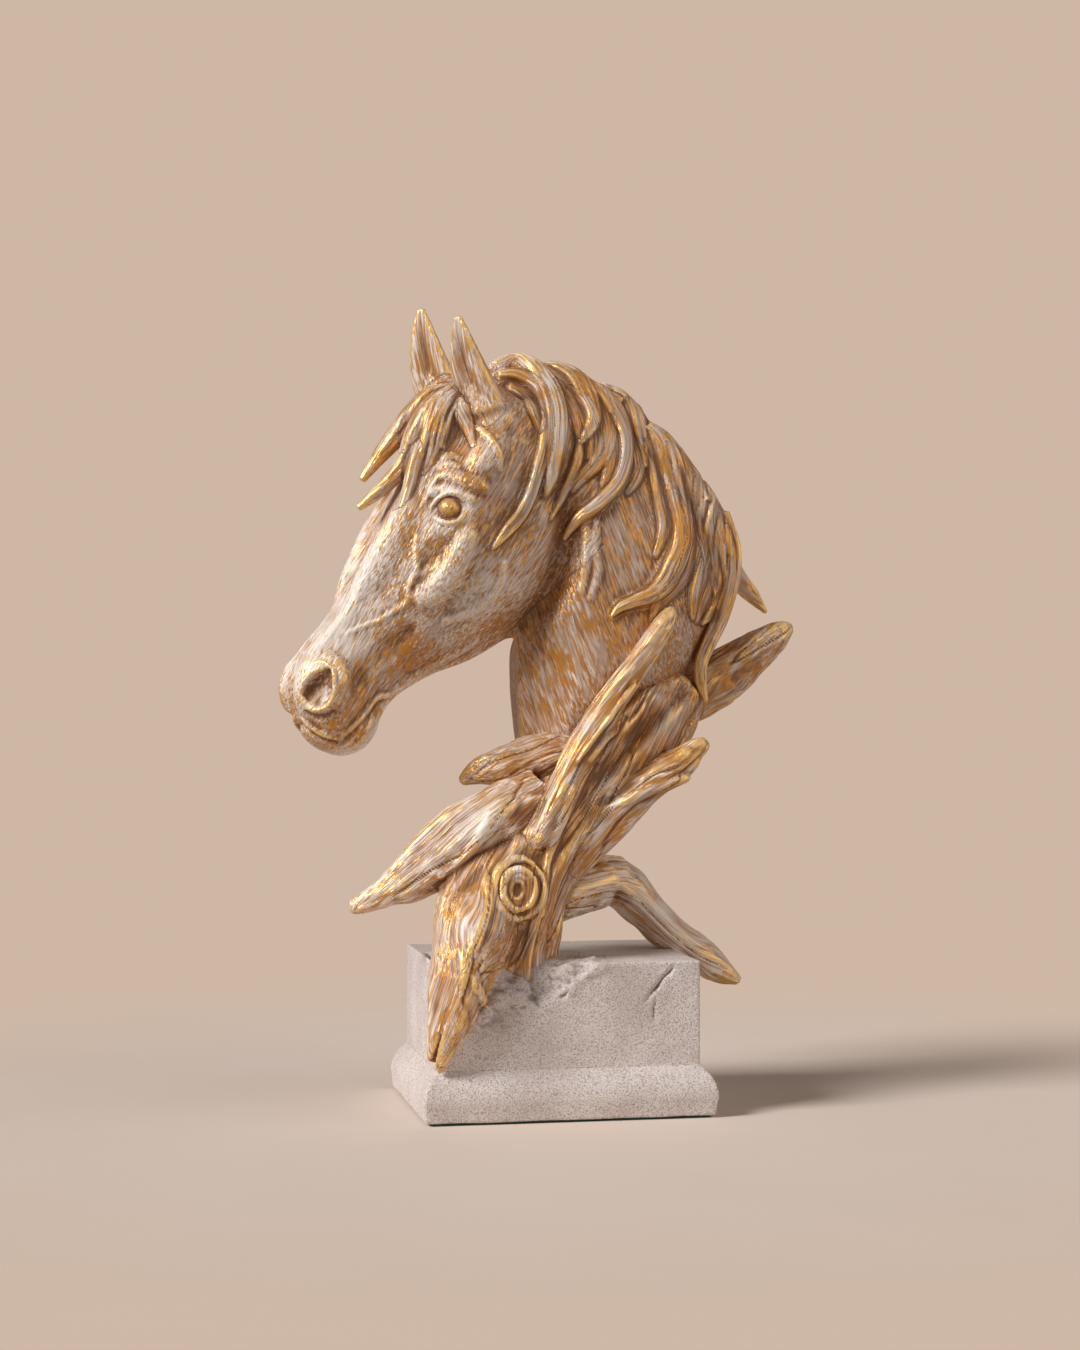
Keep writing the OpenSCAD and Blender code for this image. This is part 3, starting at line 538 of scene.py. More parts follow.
# From root to tip: the share of the full width, and how far the front is pulled in.
EAR_SHAPE = [[1.12, 0.15], [1.1, 0.45], [1, 0.78], [0.86, 0.86], [0.68, 0.86], [0.46, 0.7], [0.2, 0.3]]
EAR_BOW, EAR_RINGS, EAR_SIDES, EAR_BLEND = 2.5, 40, 48, 6
# The muscle at the root of the near ear, as a dab.
EAR_FOOT = ((-28, 353), 120, 14, 9, 7, -3)


def ear_line(root, lean, turn):
    axis = unit(np.array(lean))
    out = np.array([-math.cos(math.radians(turn)), -math.sin(math.radians(turn)), 0])
    front = unit(np.cross(np.cross(axis, out), axis))
    u = np.linspace(0, 1, EAR_RINGS)[:, None]
    middle = np.array(root) + u*EAR_LONG*axis + EAR_BOW*np.sin(np.pi*u)*[-1, 0, 0]
    return middle, front, np.cross(axis, front)


def ear(root, lean, turn):
    middle, front, across = ear_line(root, lean, turn)
    shape = drawn_out(EAR_SHAPE, EAR_RINGS)
    a = np.linspace(-np.pi, np.pi, EAR_SIDES, endpoint=False)
    cup = 1 - shape[:, 1:]*np.exp(-(np.degrees(a)/CUP_SPREAD)**4)
    reach = (shape[:, :1]*EAR_WIDE/2*cup)[..., None]
    rings = middle[:, None] + reach*(EAR_DEEP*np.cos(a)[:, None]*front + np.sin(a)[:, None]*across)
    return closed_skin(in_bust(rings.reshape(-1, 3), HEAD_TURN).reshape(rings.shape))


foot = dab(horse, *EAR_FOOT)
for shape in [foot, mirrored(foot, HEAD_TURN)] + [ear(*row) for row in EARS]:
    horse.add(shape, EAR_BLEND)
print("ears", EAR_LONG, "mm long")

# %% [markdown]
# ## Mane and forelock
# Carved hair reads as hair when each lock is a bundle of strands that run side by side and meet in a point.
# A lock here is a route with a half width and a half thickness, and the strands share its width. Locks on
# the neck and the brow are drawn as they are seen and mirrored to the far side; the forelock and the two
# locks that leave the neck have their own places in space.

# %% Strands of a lock
# How far a strand sways, in how many waves, how wide the strands spread, and how their widths vary.
SWAY, WAVES, SPREAD, WIDTHS = 0.1, (0.5, 1.3), 0.86, (0.85, 1.1)
# How high a strand lies on its lock, how far deep carving sinks it, the bundle's crown, and its jitter.
LIE, SINK, CROWN, JITTER = 0.85, 1.1, 0.75, 0.5
# A strand's thickness: least share of the lock's, share of its own width, and more for deep carving.
STRAND_LEAST, STRAND_THICK, STRAND_DEEP = 0.26, 0.5, 2


def strands_of(route, up, half_w, half_t, count, seed, carve):
    across, up = framed(route, up)
    draw = np.random.default_rng(seed)
    along = np.linspace(0, 2*np.pi, len(route))
    yield oval_tube(route, across, up, half_w, (1 - carve)*half_t)
    for k in range(count):
        share = 2*(k + 0.5)/count - 1
        sway = SWAY*np.sin(along*draw.uniform(*WAVES) + draw.uniform(0, 2*np.pi))
        rise = (LIE - SINK*carve)*math.sqrt(1 - CROWN*share*share) + JITTER*carve*draw.uniform(-1, 1)
        middle = route + across*(half_w*(SPREAD*share + sway))[:, None] + up*(half_t*rise)[:, None]
        wide = half_w*draw.uniform(*WIDTHS)/count
        thick = np.maximum(STRAND_LEAST*half_t, (STRAND_THICK + STRAND_DEEP*carve)*wide)
        yield oval_tube(middle, across, up, wide, thick)


print("a strand spreads over", SPREAD, "of its lock")

# %% Locks of the mane
# Each lock: strands, height over the neck, then points of the picture with half width and half thickness.
NECK_LOCKS = [
    (5, 2.6, [(-28, 369.5, 2, 2), (-21, 372.5, 3, 3), (-14, 373, 3.2, 3.6), (-8.5, 370, 3.6, 4),
        (-3.5, 364.5, 4, 4), (0.3, 356.5, 4.5, 4), (2.2, 348, 4.6, 4), (2.6, 340, 4.5, 4), (2, 332, 4.3, 4),
        (0.6, 324, 4, 3.6), (-1, 316, 3.2, 3), (-3.5, 305, 0.7, 0.8)]),
    (3, 1.6, [(-26, 366, 1.5, 2), (-18, 367, 2, 2.6), (-10, 364, 2.4, 3), (-5, 358, 2.6, 3.2),
        (-2.5, 349, 2.6, 3.2), (-2.5, 339, 2.6, 3.2), (-4.5, 328, 2.5, 3), (-7.5, 317, 2.4, 3),
        (-10.5, 306, 2.4, 2.8), (-15, 297, 2.5, 2.6), (-21, 289.5, 2.3, 2.2), (-30, 278, 0.6, 0.6)]),
    (2, 0.4, [(-20, 361, 1.2, 1.4), (-14, 357, 2, 2), (-9, 350, 2, 2.2), (-5.5, 342, 1.8, 2),
        (-4.2, 334.5, 0.6, 0.6)]),
    (5, 1.5, [(-3, 371, 2, 2), (4, 369.5, 4, 3), (12, 365.5, 4.5, 3.6), (17, 358.5, 4.2, 3.6),
        (20, 350.5, 3.8, 3.6), (21.5, 344, 3.2, 3.2), (19, 338, 2.4, 2.4), (15, 332, 0.7, 0.7)]),
    (3, 0.5, [(1, 362, 2, 2), (7, 356, 3, 2.8), (11, 349, 3, 3), (14, 341, 2.4, 2.4),
        (14.8, 333, 0.7, 0.8)]),
    (1, 0.3, [(15, 333, 0.8, 1), (14.5, 326, 1.4, 1.4), (12, 318, 1.4, 1.4), (8, 309, 1.3, 1.3),
        (4, 301, 1.1, 1.1), (0.5, 294, 0.5, 0.5)]),
    (4, 1.5, [(18, 361.5, 2, 2), (26, 357.5, 3.2, 3), (32, 350.5, 3.6, 3.4), (36, 342, 3.5, 3.6),
        (38, 332, 3.2, 3.6), (37.5, 322, 3, 3.6), (34.5, 313, 2.8, 3.4), (29, 306, 2.6, 3.2),
        (22, 299.5, 2.4, 2.8), (14, 294, 2, 2.2), (6.5, 283, 0.6, 0.6)]),
    (3, 0.4, [(20, 355, 1.5, 2), (25, 348, 2.4, 2.6), (29, 339, 2.6, 2.8), (31, 329, 2.4, 2.6),
        (30, 319, 2, 2.2), (26.5, 311, 0.6, 0.6)]),
    (4, 1, [(27, 360.5, 2, 2), (35, 357, 3.5, 3), (41, 350.5, 3.5, 3.4), (44.5, 342, 3, 3.2),
        (46, 333, 2.4, 2.6), (48, 320, 0.6, 0.6)]),
    (2, 0.2, [(40, 336, 1, 1.2), (43.5, 328, 1.8, 2), (45, 320, 2, 2), (43, 313, 1.5, 1.5),
        (39, 307, 0.5, 0.5)]),
    (6, 2, [(48, 341.5, 2, 2), (54, 335.5, 4.5, 3.4), (58.5, 327, 5.5, 4), (61, 316, 6, 4.2),
        (62.5, 305, 6, 4.4), (64.5, 296, 5.4, 4.4), (66, 288, 4.8, 4.2), (65, 279, 4.4, 4),
        (62, 271, 4.2, 4), (58.5, 263, 4, 3.6), (54, 257.5, 3.4, 3.2), (47, 254, 2.6, 2.8),
        (39, 251.5, 2, 2.2), (34, 249, 1.5, 1.6), (30, 244, 0.5, 0.5)]),
    (2, 0.4, [(48, 333, 1.2, 1.4), (51, 323, 2, 2), (53, 312, 2.2, 2.2), (55, 301, 2.2, 2.2),
        (57, 291, 2, 2), (56, 283, 1.5, 1.5), (53, 275, 0.5, 0.5)]),
    (4, 1, [(64, 330, 2.5, 2), (69, 321, 3.8, 3), (72, 312, 4, 3.4), (73.5, 302, 4, 3.6),
        (75.5, 293, 4, 3.6), (76.5, 284, 3.8, 3.6), (75.5, 274, 3.4, 3.4), (73.5, 264, 3, 3),
        (71.5, 254, 2.4, 2.4), (72, 243, 0.6, 0.6)]),
    (5, 1.2, [(76, 313, 2.5, 2), (81, 304.5, 4.4, 3.2), (84, 295, 5, 3.8), (84.5, 284, 5, 4),
        (85, 274, 4.8, 4), (86, 265, 4.4, 3.8), (85, 256, 3.6, 3.2), (81, 248, 2.4, 2.4),
        (76, 241, 0.6, 0.6)])]
print("mane:", len(NECK_LOCKS), "locks on the near side")

# %% Locks of the forehead, and free locks
# Hair that lies on the forehead in front of the near ear, drawn in the same way.
BROW_LOCKS = [
    (3, 0, [(-46.5, 356.5, 1.2, 0.8), (-51, 353.5, 4.6, 2), (-54.6, 347, 4.2, 2), (-55.4, 340, 3, 1.7),
        (-53.8, 330, 0.7, 0.5)]),
    (3, 0, [(-44.5, 355, 1.2, 0.8), (-45, 351, 4, 1.8), (-43.4, 346, 3.6, 1.8), (-40.6, 340, 2.6, 1.6),
        (-38, 331, 0.7, 0.5)])]
# Free locks: strands, turn of their axes, then points in space with half width and half depth.
FREE_LOCKS = [
    (3, NECK_TURN, [(88, -6, 222, 4, 4), (92, -8, 205, 5, 5), (92.5, -9, 192, 5, 4.6),
        (90, -10, 180, 4.8, 4.4), (86, -11, 168, 4.5, 4), (80, -13, 156, 4, 4), (75.5, -15, 146, 3.6, 3.5),
        (75, -16, 137, 3.2, 3), (77.5, -16, 126.5, 1.2, 1.2)]),
    (3, NECK_TURN, [(88, 3, 204, 6, 4), (99, 8, 190, 5.5, 4), (107, 10, 181, 4, 3.5),
        (115, 12, 172.5, 0.8, 0.8)]),
    (5, HEAD_TURN, [(-46, 3, 280, 5, 9), (-62, 4, 277.5, 7, 11), (-74, 6, 267.5, 6, 9), (-84, 8, 255, 5, 6),
        (-92, 9, 245, 3.4, 4), (-98.5, 9, 236.5, 1.8, 2)]),
    (5, HEAD_TURN, [(-48, -4, 278, 6, 9), (-66, -6, 271, 7, 10), (-76, -7, 259, 5.5, 8),
        (-81, -6, 247, 4.4, 6), (-87, -4, 237.5, 3.8, 4.6), (-95, -2, 229.5, 3.2, 3.6),
        (-103.5, 0, 222, 1.7, 1.8)]),
    (7, HEAD_TURN, [(-56, -5, 280, 5, 8), (-63, -6, 272, 8, 11), (-68, -7, 260, 9.5, 12.5),
        (-72, -8, 247, 8.5, 11), (-76, -10, 236, 5, 7), (-80, -12, 226, 1.5, 2)]),
    (3, HEAD_TURN, [(-60, -8, 270, 5, 5), (-76, -12, 250, 4.5, 4.5), (-82, -13, 232, 3.5, 4),
        (-87, -13, 217, 2.5, 3), (-91, -13, 203, 0.8, 0.8)])]
print("forehead:", len(BROW_LOCKS), "locks drawn on it, and", len(FREE_LOCKS), "locks that hang free")

# %% Comb the hair
# Pairs of locks that lie side by side, with a lock of thinner hair combed in between them.
FILLED, FILL_STRANDS, FILL_SIZE = [(3, 6), (4, 7), (10, 12), (12, 13)], 4, [1, 1, 1, 0.6]
# A lock that stands proud keeps its shape; the rest are spread out and pressed flat into a sheet of hair.
PROUD, HERO, SHEET = 1.4, [1, 1, 1.3, 0.8], [1, 1, 1.6, 0.62]
LOCK_POINTS = 44
# A bed of clay under each lock of the neck: how deep, how much wider, and its blend.
BED_DEEP, BED_WIDE, BED_BLEND = 2, 1.5, 3
# How deep the strands are carved, and their blend, on the neck and elsewhere.
NECK_CARVE, LOOSE_CARVE = (0.2, 0.8), (0.05, 1.6)


def other_way(ways, turn):
    return turned(turned(ways, -turn - SCULPTURE_TURN)*[1, -1, 1], turn + SCULPTURE_TURN)


combed = []
for count, proud, rows in NECK_LOCKS:
    hero = proud >= PROUD
    combed.append((count + (not hero), proud, drawn_out(rows, LOCK_POINTS)*(HERO if hero else SHEET)))
for a, b in FILLED:
    combed.append((FILL_STRANDS, 0, 0.5*(combed[a][2] + combed[b][2])*FILL_SIZE))
hair = []
for turn, locks in (NECK_TURN, combed), (HEAD_TURN, BROW_LOCKS):
    for count, proud, rows in locks:
        route, up, sizes = laid(horse, rows, LOCK_POINTS)
        route = route + proud*up
        hair.append((count, route, up, sizes))
        hair.append((count, other_side(route, turn), other_way(up, turn), sizes))
hair += [(count, *in_space(rows, LOCK_POINTS, turn)) for count, turn, rows in FREE_LOCKS]
neck_hair = 2*len(combed)
for _, route, up, sizes in hair[:neck_hair]:
    across, out = framed(route, up)
    horse.add(oval_tube(route - BED_DEEP*out, across, out, BED_WIDE*sizes[:, 0], sizes[:, 1]), BED_BLEND)
for seed, (count, route, up, sizes) in enumerate(hair):
    carve, blend = NECK_CARVE if seed < neck_hair else LOOSE_CARVE
    for shape in strands_of(route, up, *sizes.T, count, seed, carve):
        horse.add(shape, blend)
print("hair:", len(hair), "locks,", sum(row[0] for row in hair), "strands")

# %% [markdown]
# ## From clay to a painted skin
# The finish is put on by hand in the workshop: a pale wash runs into the hollows, and a dry brush leaves
# gold on whatever stands up. So each piece needs to know where it is raised and where it is hollow.
# Averaging every point with its neighbours a few times gives a smoothed skin, and the distance from it tells
# ridge from hollow.

# %% Ridge and hollow
BITS = 32
WORD = (1 << BITS) - 1


def edges_of(quads):
    pairs = np.sort(np.concatenate([quads[:, [k, (k + 1) % 4]] for k in range(4)]), axis=1)
    keys = np.unique((pairs[:, 0] << BITS) + pairs[:, 1])
    return keys >> BITS, keys & WORD


def averaged(values, edges, rounds):
    a, b = edges
    n = len(values)
    count = np.bincount(a, minlength=n) + np.bincount(b, minlength=n)
    values = values.copy()
    for _ in range(rounds):
        for k in range(values.shape[1]):
            column = values[:, k]
            values[:, k] = (np.bincount(a, column[b], n) + np.bincount(b, column[a], n))/count
    return values


def mesh_normals(points, quads):
    across = np.cross(points[quads[:, 2]] - points[quads[:, 0]], points[quads[:, 3]] - points[quads[:, 1]])
    total = np.zeros_like(points)
    for k in range(4):
        for axis in range(3):
            total[:, axis] += np.bincount(quads[:, k], across[:, axis], len(points))
    return unit(total)


def relief_of(points, quads, **rounds):
    edges, facing = edges_of(quads), mesh_normals(points, quads)
    fields = {}
    for name, count in rounds.items():
        fields[name] = np.sum((points - averaged(points, edges, count))*facing, -1)
        print(name, "relief, mm:", np.round(np.percentile(fields[name], [2, 50, 98]), 2))
    return fields


print("edges of one quad:", len(edges_of(np.array([[0, 1, 2, 3]]))[0]))


# %% Meshes that ride on the body
def main_shell(points, quads):
    a, b = edges_of(quads)
    label = np.arange(len(points))
    while True:
        low = np.minimum(label[a], label[b])
        fresh = label.copy()
        np.minimum.at(fresh, a, low)
        np.minimum.at(fresh, b, low)
        fresh = fresh[fresh]
        if np.array_equal(fresh, label):
            break
        label = fresh
    keep = label == np.bincount(label).argmax()
    place = np.cumsum(keep) - 1
    return points[keep], place[quads[keep[quads[:, 0]]]]


def piece_of(name, points, faces, fields, nodes):
    mesh = bpy.data.meshes.new(name)
    mesh.from_pydata((points*MM).tolist(), [], faces)
    mesh.shade_smooth()
    for field, values in fields.items():
        kind, key = ("FLOAT_VECTOR", "vector") if values.ndim == 2 else ("FLOAT", "value")
        attribute = mesh.attributes.new(field, kind, "POINT")
        attribute.data.foreach_set(key, np.ascontiguousarray(values, np.float32).ravel())
    piece = placed(name, mesh)
    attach(piece, "root")
    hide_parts(*nodes)
    print(name, len(mesh.vertices), "points,", len(mesh.polygons), "faces")
    return piece


FINE_ROUNDS, BROAD_ROUNDS = 3, 40
points, quads = main_shell(*horse.skin())
fields = relief_of(points, quads, fine=FINE_ROUNDS, broad=BROAD_ROUNDS)

# %% [markdown]
# ## The lie of the hair
# Brush marks follow the hair: along the nose on the head, down the neck, and along each ear and lock. A
# texture can't tell that from the shape, so each point of the skin keeps a place that is measured along and
# across the hair there, and the finish draws its streaks from it.

# %% Lie of the hair
HEAD_HAIR, NECK_HAIR = unit(np.array([-0.55, 0.12, -0.83])), unit(np.array([0.35, 0.1, -0.93]))
NECK_STRETCH, LOCK_STRETCH = 0.85, 0.4
# Places of the neck and of each lock are moved apart, so that no two of them show the same streaks.
NECK_APART, LOCK_APART = 500, 40
# The line behind the jaw, in the head's axes: its x, and the heights below and above which it leans.
JAW_X, JAW_LOW, JAW_HIGH, LEAN_LOW, LEAN_HIGH = 12, 205, 240, 0.9, 0.4
# A point belongs to a lock within this share of the lock's size, and a little more.
HAIR_SHARE, HAIR_MORE, HAIR_MARGIN = 1.15, 0.8, 2
# The big front lock and its mirror come first in the list of hair.
BRIGHT_LOCKS = 2


def combed_place(points, turn, way):
    own = from_bust(points, turn)
    own[:, 1] = np.abs(own[:, 1])
    side = unit(np.cross(way, [0, 1, 0]))
    return np.stack([own @ way, own @ side, own @ np.cross(side, way)], -1)


head_x, _, head_z = from_bust(points, HEAD_TURN).T
lean = LEAN_LOW*np.maximum(JAW_LOW - head_z, 0), LEAN_HIGH*np.maximum(head_z - JAW_HIGH, 0)
on_head = head_x < JAW_X - lean[0] - lean[1]
neck_place = combed_place(points, NECK_TURN, NECK_HAIR)*[NECK_STRETCH, 1, 1] + NECK_APART
grain = np.where(on_head[:, None], combed_place(points, HEAD_TURN, HEAD_HAIR), neck_place)
bright, hairy = np.zeros(len(points), bool), np.zeros(len(points), bool)
ears = []
for row in EARS:
    middle, front, _ = ear_line(*row)
    up = np.repeat(turned([front], HEAD_TURN + SCULPTURE_TURN), EAR_RINGS, 0)
    ears.append((0, in_bust(middle, HEAD_TURN), up, np.full((EAR_RINGS, 2), EAR_WIDE/2)))
for seed, (_, route, up, sizes) in enumerate(ears + hair, -len(ears)):
    across, up = framed(route, up)
    reach = sizes.max() + HAIR_MARGIN
    near = np.flatnonzero(np.all((points > route.min(0) - reach) & (points < route.max(0) + reach), -1))
    gap = np.linalg.norm(points[near, None] - route[None], axis=-1)
    k = gap.argmin(1)
    own = gap[np.arange(len(near)), k] < HAIR_SHARE*np.maximum(sizes[k, 0], sizes[k, 1]) + HAIR_MORE
    near, k = near[own], k[own]
    bright[near] = 0 <= seed < BRIGHT_LOCKS
    hairy[near] = seed >= 0
    off = points[near] - route[k]
    length = np.concatenate([[0], np.cumsum(np.linalg.norm(np.diff(route, axis=0), axis=1))])
    along = length[k] + np.sum(off*np.cross(up[k], across[k]), -1)
    place = [LOCK_STRETCH*along, np.sum(off*across[k], -1), np.sum(off*up[k], -1)]
    grain[near] = np.stack(place, -1) + LOCK_APART*seed
print("hair covers", round(100*hairy.mean()), "% of the horse's points")

# %% Wash of the horse
# Where the brush went back: spots of the picture, their reach, and more wash or, below zero, more gold.
FACE_SPOTS = [((-98, 207), 15, -1.5), ((-58, 275), 9, -0.3), ((-74, 226), 14, -0.9), ((-34, 311), 5, -1),
              ((-43, 314), 6, -0.8), ((-119, 190), 13, -0.8), ((-123, 206), 9, -0.5), ((-112, 205), 4, 1.4),
              ((-97, 185), 8, -1), ((-112, 181), 9, -0.8), ((-36, 255), 22, 0.8), ((-30, 347), 7, 0.8),
              ((-50, 352), 5, 0.8), ((-30, 329), 4, 0.6), ((-70, 300), 14, -0.3)]
# The wash lies thickest on the front of the face and the big front lock; the neck is darker and browner, the
# eyes golden.
FACE_WASH, FACE_START, FACE_FADE = 0.8, -62, 50
NECK_PALENESS, HAIR_WASH, BRIGHT_WASH = -0.2, -0.25, 0.3
EYE_REACH, EYE_GOLD, LID_WASH, LID_REACH = 6.2, -1.0, 1.2, 1.2


def spots_added(clay, points, spots, turn=None):
    total = np.zeros(len(points))
    for spot, reach, amount in spots:
        place = seen(clay, [spot])
        for centre in [place] if turn is None else [place, other_side(place, turn)]:
            total += amount*np.exp(-(np.linalg.norm(points - centre, axis=-1)/reach)**2)
    return total


pale = np.where(on_head, FACE_WASH*np.clip((FACE_START - head_x)/FACE_FADE, 0, 1), NECK_PALENESS)
for shape in eyeball, mirrored(eyeball, HEAD_TURN):
    away = np.linalg.norm(points - shape[0].mean(0), axis=-1)
    pale += (LID_WASH - pale)*np.clip(2 - away/EYE_REACH/LID_REACH, 0, 1)
    pale[away < EYE_REACH] = EYE_GOLD
pale[hairy] = HAIR_WASH
pale[bright] = BRIGHT_WASH
pale += spots_added(horse, points, FACE_SPOTS, HEAD_TURN)
fields |= {"grain": grain, "pale": pale}
horse_piece = piece_of("horse_casting", points, quads.tolist(), fields,
                       ["horse_bust", "near_ear", "far_ear", "forelock", "mane_tail_lock", "mane_far_lock"])

# %% [markdown]
# ## Driftwood
# Weathered timber is all grain: long furrows that wind round the trunk and part round a knot. The solids of
# the frame give every branch its place, and the clay joins them into one root. The furrows come next: each
# branch gets a core line, and smooth noise stretched along that line and wound slowly round it is pressed
# into the skin.

# %% Smooth noise
# Large odd numbers that scramble a cell of the lattice into a value that looks drawn at random.
SCRAMBLE, SALT, STIR = (374761393, 668265263, 2147483647), 1274126177, 1103515245


def lattice(cell, salt):
    h = (sum(cell[..., k]*SCRAMBLE[k] for k in range(3)) + salt*SALT) & WORD
    h = ((h ^ (h >> 13))*STIR) & WORD
    return ((h ^ (h >> 16)) & 0xFFFF)/65535.0


def smooth_noise(places, salt=0):
    cell = np.floor(places).astype(np.int64)
    f = places - cell
    f = f*f*f*(f*(6*f - 15) + 10)
    total = np.zeros(len(places))
    for corner in np.ndindex(2, 2, 2):
        total += np.prod(np.where(corner, f, 1 - f), -1)*lattice(cell + corner, salt)
    return total


def ridged(noise):
    return 1 - np.abs(2*noise - 1)


def rough(points, layers):
    total = np.zeros(len(points))
    for high, size, shift, salt in layers:
        total += high*(smooth_noise(points/np.array(size) + shift, salt) - 0.5)
    return total


print("noise at the corner of a cell:", np.round(smooth_noise(np.zeros((1, 3))), 3))

# %% Join the timber
TIMBER = ["trunk", "front_root", "arch_root", "left_low_branch", "left_high_branch", "neck_branch",
          "right_mid_branch", "right_high_branch"]
WOOD_MARGIN, WOOD_PITCH, WOOD_BLEND, WOOD_RASP = 6, 0.85, 3.5, 1.2
# How far the timber swells past its solids, and twice that past pins and stud; the cover of the stud's top.
SWELL, STUD_COVER = 0.7, 2
boxes = np.array([box_mm(name) for name in TIMBER])
wood = Clay(boxes[:, 0].min(0) - WOOD_MARGIN, boxes[:, 1].max(0) + WOOD_MARGIN, WOOD_PITCH)
branches = {name: wood.form(node_shape(name)) for name in TIMBER}
for window, part in branches.values():
    wood.field[window] = joined(wood.field[window], part - SWELL, WOOD_BLEND)
for name in ["branch_dowels", "neck_dowel"]:
    window, part = wood.form(node_shape(name))
    wood.field[window] = np.minimum(wood.field[window], part - 2*SWELL)
print("timber joined:", len(TIMBER), "pieces")

# %% Cover the stud
stud_low, stud_high = box_mm("stud")
stud_x, stud_y = (stud_low[:2] + stud_high[:2])/2
stud_r = np.full(2, (stud_high[0] - stud_low[0])/2 + 2*SWELL)
plug = np.array([[stud_x, stud_y, z] for z in (PLINTH_TOP, stud_high[2] + STUD_COVER)])
wood.add(oval_tube(plug, np.array([[1.0, 0, 0]]*2), np.array([[0, 1.0, 0]]*2), stud_r, stud_r))
wood.soften(WOOD_RASP)
print("stud covered to", round(plug[1, 2], 1), "mm up")

# %% Hollows, splinters and the knot
# Hollows are dabs and splinters are strokes, in the same form as on the face.
WOOD_HOLLOWS = [((-17, 144), 38, 17, 7.5, 6, 4.0), ((35, 157), 33, 13, 4, 5, 2),
                ((48, 190), 40, 16, 4, 4, 2.4), ((-40, 112), 60, 14, 4, 5, 3)]
SPLINTERS = [
    [(14, 172, 0.5, 0.5), (23, 185, 1.8, 2.2), (32, 198, 2.2, 2.8), (39, 206, 1.8, 2.2),
        (44, 211, 0.6, 0.6)],
    [(20, 172, 0.5, 0.5), (29, 184, 1.8, 2), (38, 195, 2, 2.4), (46, 203, 1.5, 1.7), (50, 208, 0.6, 0.6)],
    [(24, 172, 0.5, 0.5), (33, 183, 1.8, 1.8), (42, 194, 1.8, 2), (54, 205.5, 0.6, 0.6)],
    [(30, 150, 0.5, 0.5), (44, 155, 2, 1.8), (56, 159, 2.4, 2.4), (64, 162, 1.8, 2),
        (69.5, 163.5, 0.6, 0.6)],
    [(-56, 113, 0.5, 0.4), (-46, 121, 1.8, 1.2), (-37, 131, 2, 1.3), (-30, 144, 1.8, 1.2),
        (-24, 151, 0.6, 0.5)],
    [(-33, 121, 0.5, 0.5), (-31, 106, 2, 1.6), (-34, 90, 2, 1.6), (-43, 66, 0.6, 0.6)],
    [(-45, 78, 0.5, 0.5), (-43.4, 68, 1.8, 1.8), (-43.2, 61, 1.4, 1.5), (-43.8, 54.5, 0.4, 0.4)],
    [(-39, 64, 0.5, 0.5), (-35.4, 55, 1.7, 1.8), (-29.6, 45.5, 0.4, 0.4)],
    [(-4, 94, 0.5, 0.5), (-3, 108, 1.8, 1.5), (0, 126, 2, 1.6), (7, 145, 1.8, 1.5), (12, 160, 0.6, 0.6)]]
ROOT_SPLIT = [(-52, 42, 0.3, 0.4), (-55.5, 31, 0.7, 1.4), (-58.6, 21, 0.9, 2), (-60, 15, 1, 2)]
SPLINTER_POINTS, SPLINTER_BLEND, HOLE_BLEND, SPLIT_BLEND = 30, 2.4, 2.5, 0.8
# The knot, worked inwards: press, tool, spot, half length, half height, thickness, lift and blend.
KNOT, KNOT_CORE, KNOT_EYE, KNOT_TILT = (-15, 107.5), (-16, 107.5), (-16.5, 107.5), 82
KNOT_WORK = [(wood.add, dab, KNOT_CORE, 9, 8, 4, 2.5, 1),
             (wood.add, ring_round, KNOT, 14.6, 12.6, 1.2, -0.3, 2),
             (wood.cut, ring_round, KNOT, 12.2, 10.4, 1, 0.5, 1.2),
             (wood.add, ring_round, KNOT, 9.8, 8.2, 1.3, 0.3, 1.4),
             (wood.cut, dab, KNOT_CORE, 7.4, 6.4, 4.4, 1, 0.8),
             (wood.add, ring_round, KNOT_EYE, 4.6, 3.8, 0.8, 0.3, 0.8)]
for rows in SPLINTERS:
    wood.add(stroke(wood, rows, SPLINTER_POINTS), SPLINTER_BLEND)
for row in WOOD_HOLLOWS:
    wood.cut(dab(wood, *row), HOLE_BLEND)
wood.cut(stroke(wood, ROOT_SPLIT), SPLIT_BLEND)
for press, tool, spot, *sizes, blend in KNOT_WORK:
    press(tool(wood, spot, KNOT_TILT, *sizes), blend)
print("driftwood drawn with", len(SPLINTERS), "splinters and", len(WOOD_HOLLOWS), "hollows")

# %% Core lines and furrows
CORE_STOPS, CORE_END = 14, 3
# Not every voxel is needed to find a branch's axes and its line.
AXES_EVERY, LINE_EVERY = 7, 3
# The grain's turn in each millimetre, and how far and how often it strays from it.
TWIST, STRAY, STRAY_LONG, STRAY_SHIFT = 0.009, 0.7, 34, 5
# Wide furrows, hairlines and slits: length, width, shift and salt.
FURROWS = [(70, 6.0, 40, 0), (50, 2.4, 80, 20), (80, 8, 120, 40)]
WIDE_DEEP, THIN_DEEP, SLIT_DEEP, SLIT_FROM, SLIT_SPAN = 0.25, 0.4, 0.8, 0.9, 0.1


def core_of(window, part):
    inside = np.argwhere(part < 0) + [w.start for w in window]
    inside = (inside + wood.low)*wood.pitch
    middle = inside.mean(0)
    axes = np.linalg.svd(inside[::AXES_EVERY] - middle, full_matrices=False)[2]
    along = (inside - middle) @ axes[0]
    stops = np.linspace(along.min() + CORE_END, along.max() - CORE_END, CORE_STOPS)
    weights = np.exp(-((along[::LINE_EVERY, None] - stops)/(stops[1] - stops[0]))**2)
    line = (weights.T @ inside[::LINE_EVERY])/weights.sum(0)[:, None]
    return axes, middle, stops, line


